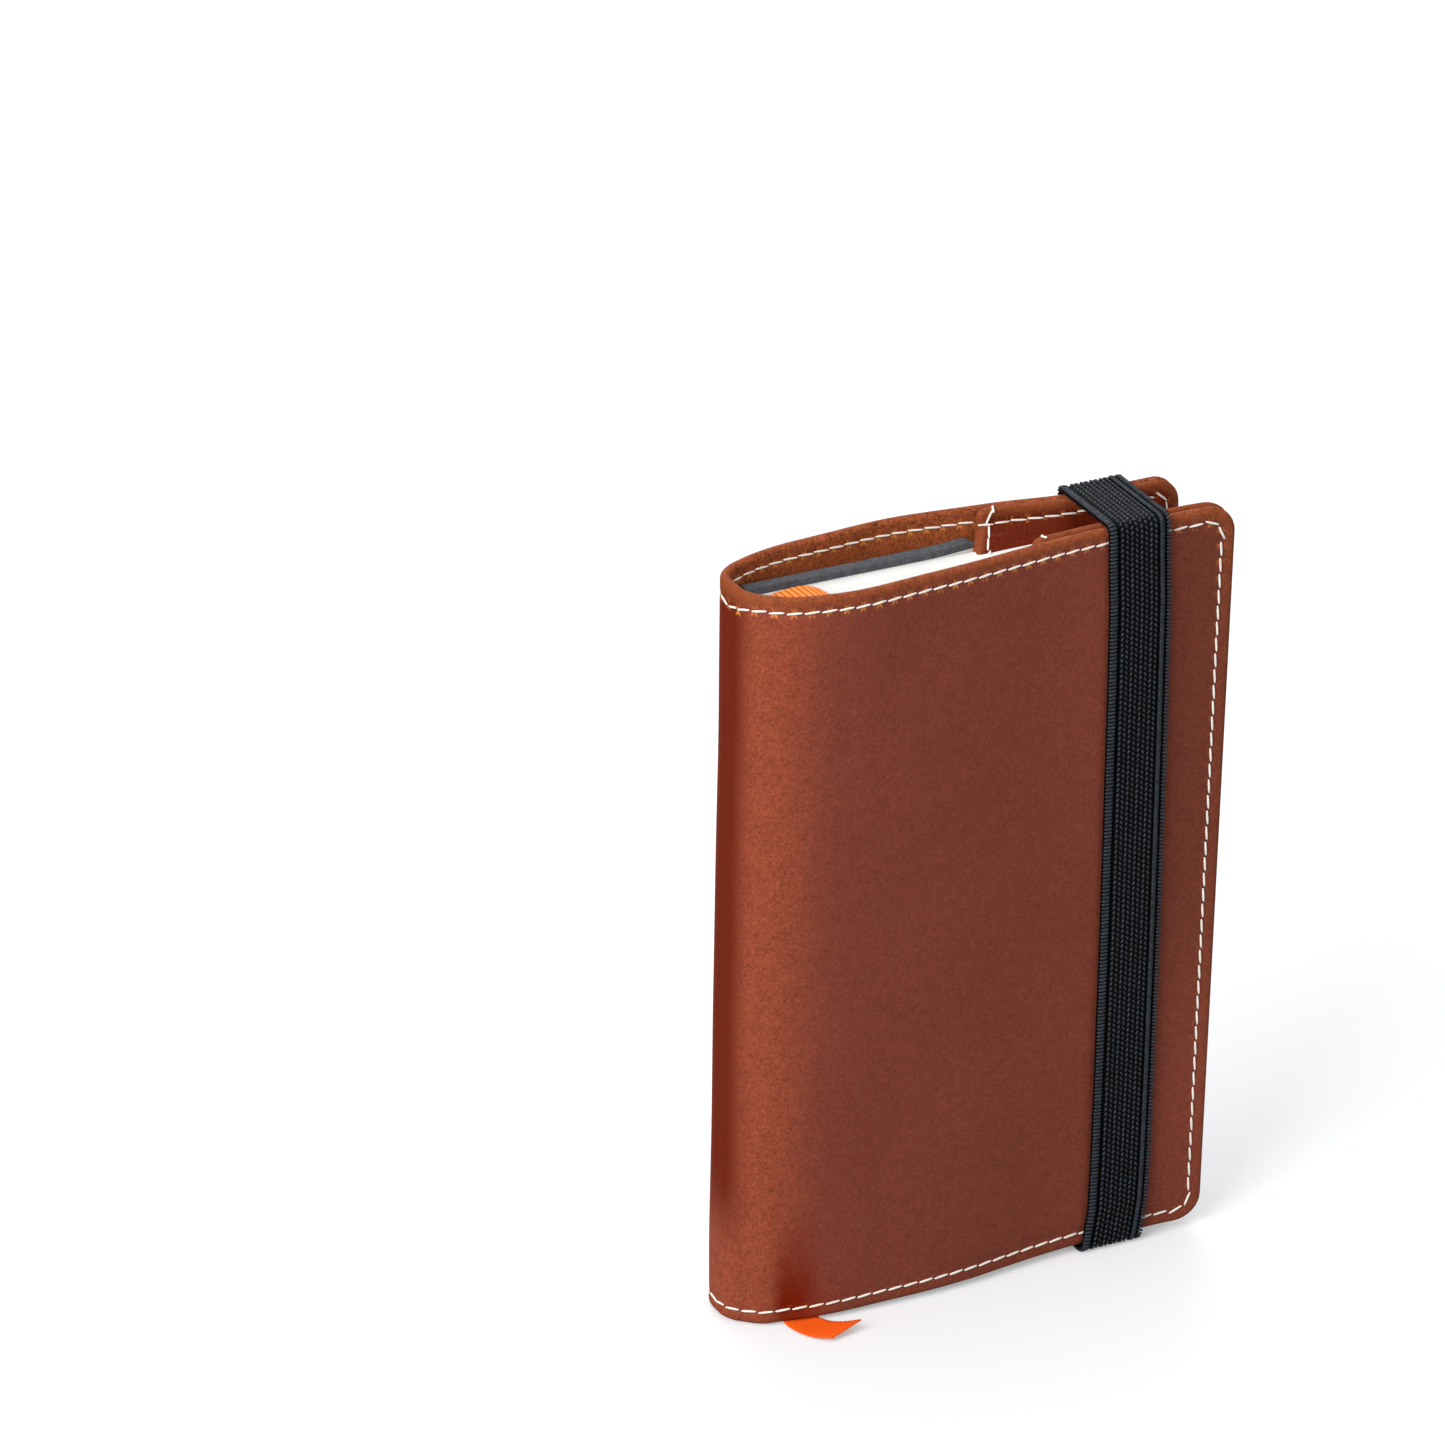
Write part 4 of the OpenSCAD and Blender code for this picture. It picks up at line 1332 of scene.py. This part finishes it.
class OBJECT_OT_cover_ribbon(bpy.types.Operator):
    """Build the ribbon: its loop, its length between the pages and its tail"""
    bl_idname = "object.cover_ribbon"
    bl_label = "Ribbon"

    def execute(self, context):
        near, far, top = RIBBON_NEAR, RIBBON_FAR, PAGE_TOP + 0.15
        front_edge = through([
            (9.6, -3.5, top), (11.9, -3.6, top + 0.25), (14.2, -3.7, top + 0.4),
            (16.5, -3.8, top + 0.4), (18.4, -3.9, top + 0.25), (19.6, -4.0, top)], 28)
        back_edge = through([
            (9.3, 2.35, top), (11.4, 2.35, top + 0.35), (13.6, 2.2, top + 0.65),
            (15.8, 1.8, top + 0.8), (17.6, 0.8, top + 0.6), (18.9, -0.6, top)], 28)
        loop = strip("ribbon_head_loop", front_edge.T, back_edge.T, 11.2)
        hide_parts("ribbon_loop")

        z = np.linspace(PAGE_TOP, PAGE_LOW, 800)
        body = strip("ribbon_between_pages", (near, 0, z), (far, 0, z),
                     PAGE_TOP - PAGE_LOW, RIBBON_HALF * 0.8)
        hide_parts("ribbon_body")

        left = [(near, 0, PAGE_LOW), (near, 0, 3.5), (near - 0.1, -0.7, 0.7),
                (near - 1.2, -4.2, 0.3), (9.5, -8.6, 0.3), (9.9, -11.9, 0.3),
                (10.9, -14.5, 0.4), (12.3, -16.6, 0.6), (14.1, -18.4, 1.0)]
        right = [(far, 0, PAGE_LOW), (far, 0, 3.5), (far - 0.1, -0.7, 0.7),
                 (far - 1.2, -4.7, 0.3), (15.9, -9.3, 0.3), (16.4, -11.0, 0.35),
                 (17.2, -12.6, 0.6), (18.6, -14.7, 1.3), (20.7, -17.0, 2.4)]
        tail = strip("ribbon_tail_end", through(left, 34).T, through(right, 34).T, 28)
        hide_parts("ribbon_tail")
        for thing in (loop, body, tail):
            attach(thing, "back_cover")
        return {"FINISHED"}


def floor_material():
    """Matt and pale; seen by the camera, it glows a little to come out white."""
    made = bpy.data.materials.new("pale_floor")
    made.use_nodes = True
    g = Graph(made.node_tree)
    seen = g.add("ShaderNodeLightPath", out="Is Camera Ray")
    tone = g.mix(seen, (0.42, 0.42, 0.42), (0.97, 0.98, 1.0))
    matt = g.add("ShaderNodeBsdfDiffuse", {"Color": tone})
    glow = g.add("ShaderNodeEmission", {"Color": (1, 1, 1), "Strength": 1.03})
    g.split("Material Output", 0.3, matt, glow)
    return made


def add_floor():
    bm = bmesh.new()
    bmesh.ops.create_grid(bm, x_segments=2, y_segments=2, size=6.0)
    for vert in bm.verts:
        vert.co.z = -0.00002
    mesh = bpy.data.meshes.new("floor")
    bm.to_mesh(mesh)
    bm.free()
    new_object("floor", mesh, floor_material())


def add_room(scene):
    """A soft pale room, which the camera sees as white."""
    scene.world = bpy.data.worlds.new("studio")
    scene.world.use_nodes = True
    g = Graph(scene.world.node_tree)
    room = g.add("ShaderNodeBackground", {"Color": (0.96, 0.98, 1.0), "Strength": 0.25})
    white = g.add("ShaderNodeBackground", {"Color": (1, 1, 1), "Strength": 1.0})
    g.split("World Output", 1.0, room, white)


LAMPS = (  # name, place, size, power, colour
    ("key", (-1.3, -0.55, 0.95), 1.1, 29.0, (1.0, 0.99, 0.97)),
    ("fill", (0.8, -1.3, 0.7), 1.1, 5.0, (0.97, 0.98, 1.0)),
    ("top", (0.1, 0.2, 1.5), 1.0, 8.0, (1.0, 1.0, 1.0)),
    ("rear", (0.4, 1.2, 0.8), 0.9, 8.0, (1.0, 1.0, 1.0)))
LAMP_AIM = Vector((0, 0, 0.07))


def add_lamps(scene):
    for label, place, size, power, tone in LAMPS:
        light = bpy.data.lights.new(label, "AREA")
        light.size, light.energy, light.color = size, power, tone
        lamp = bpy.data.objects.new(label, light)
        lamp.location = place
        lamp.rotation_euler = (LAMP_AIM - Vector(place)).to_track_quat("-Z", "Y").to_euler()
        scene.collection.objects.link(lamp)


CAMERA_PLACE = (-0.70992, -1.27237, 0.82869)
CAMERA_TURN = (27.357, 26.231, 0.913)   # yaw, pitch and roll in degrees
CAMERA_LENS = 226.0                     # mm, on a sensor 36 mm wide


def add_camera(scene):
    lens = bpy.data.cameras.new("camera")
    lens.sensor_fit, lens.sensor_width, lens.lens = "HORIZONTAL", 36.0, CAMERA_LENS
    lens.clip_start, lens.clip_end = 0.05, 30.0
    camera = bpy.data.objects.new("camera", lens)
    scene.collection.objects.link(camera)
    camera.location = CAMERA_PLACE
    yaw, pitch, roll = map(math.radians, CAMERA_TURN)
    turn = (Euler((0, 0, -yaw)).to_matrix()
            @ Euler((math.pi / 2 - pitch, 0, 0)).to_matrix()
            @ Euler((0, 0, roll)).to_matrix())
    camera.rotation_euler = turn.to_euler()
    scene.camera = camera


class OBJECT_OT_cover_stage(bpy.types.Operator):
    """Set the floor, the soft lights and the camera"""
    bl_idname = "object.cover_stage"
    bl_label = "Stage"

    def execute(self, context):
        context.scene.view_settings.view_transform = "Standard"
        add_floor()
        for add in (add_room, add_lamps, add_camera):
            add(context.scene)
        return {"FINISHED"}


class VIEW3D_PT_cover(bpy.types.Panel):
    bl_label = "Leather Notebook Cover"
    bl_space_type = "VIEW_3D"
    bl_region_type = "UI"
    bl_category = "Cover"

    def draw(self, context):
        for owner in (context.scene.cover_sizes, context.scene.cover_colours):
            box = self.layout.box()
            for label in owner.__annotations__:
                box.prop(owner, label)
        for operator in OPERATORS:
            self.layout.operator(operator.bl_idname)


OPERATORS = (
    OBJECT_OT_cover_stage, OBJECT_OT_cover_hide, OBJECT_OT_cover_pockets,
    OBJECT_OT_cover_stitches, OBJECT_OT_cover_notebook, OBJECT_OT_cover_elastic,
    OBJECT_OT_cover_ribbon)
CLASSES = (CoverSizes, CoverColours, *OPERATORS, VIEW3D_PT_cover)


def register():
    for cls in CLASSES:
        bpy.utils.register_class(cls)
    bpy.types.Scene.cover_sizes = bpy.props.PointerProperty(type=CoverSizes)
    bpy.types.Scene.cover_colours = bpy.props.PointerProperty(type=CoverColours)


def unregister():
    del bpy.types.Scene.cover_colours
    del bpy.types.Scene.cover_sizes
    for cls in reversed(CLASSES):
        bpy.utils.unregister_class(cls)


def main():
    register()
    for operator in OPERATORS:
        space, call = operator.bl_idname.split(".")
        getattr(getattr(bpy.ops, space), call)()


if __name__ == "__main__":
    main()
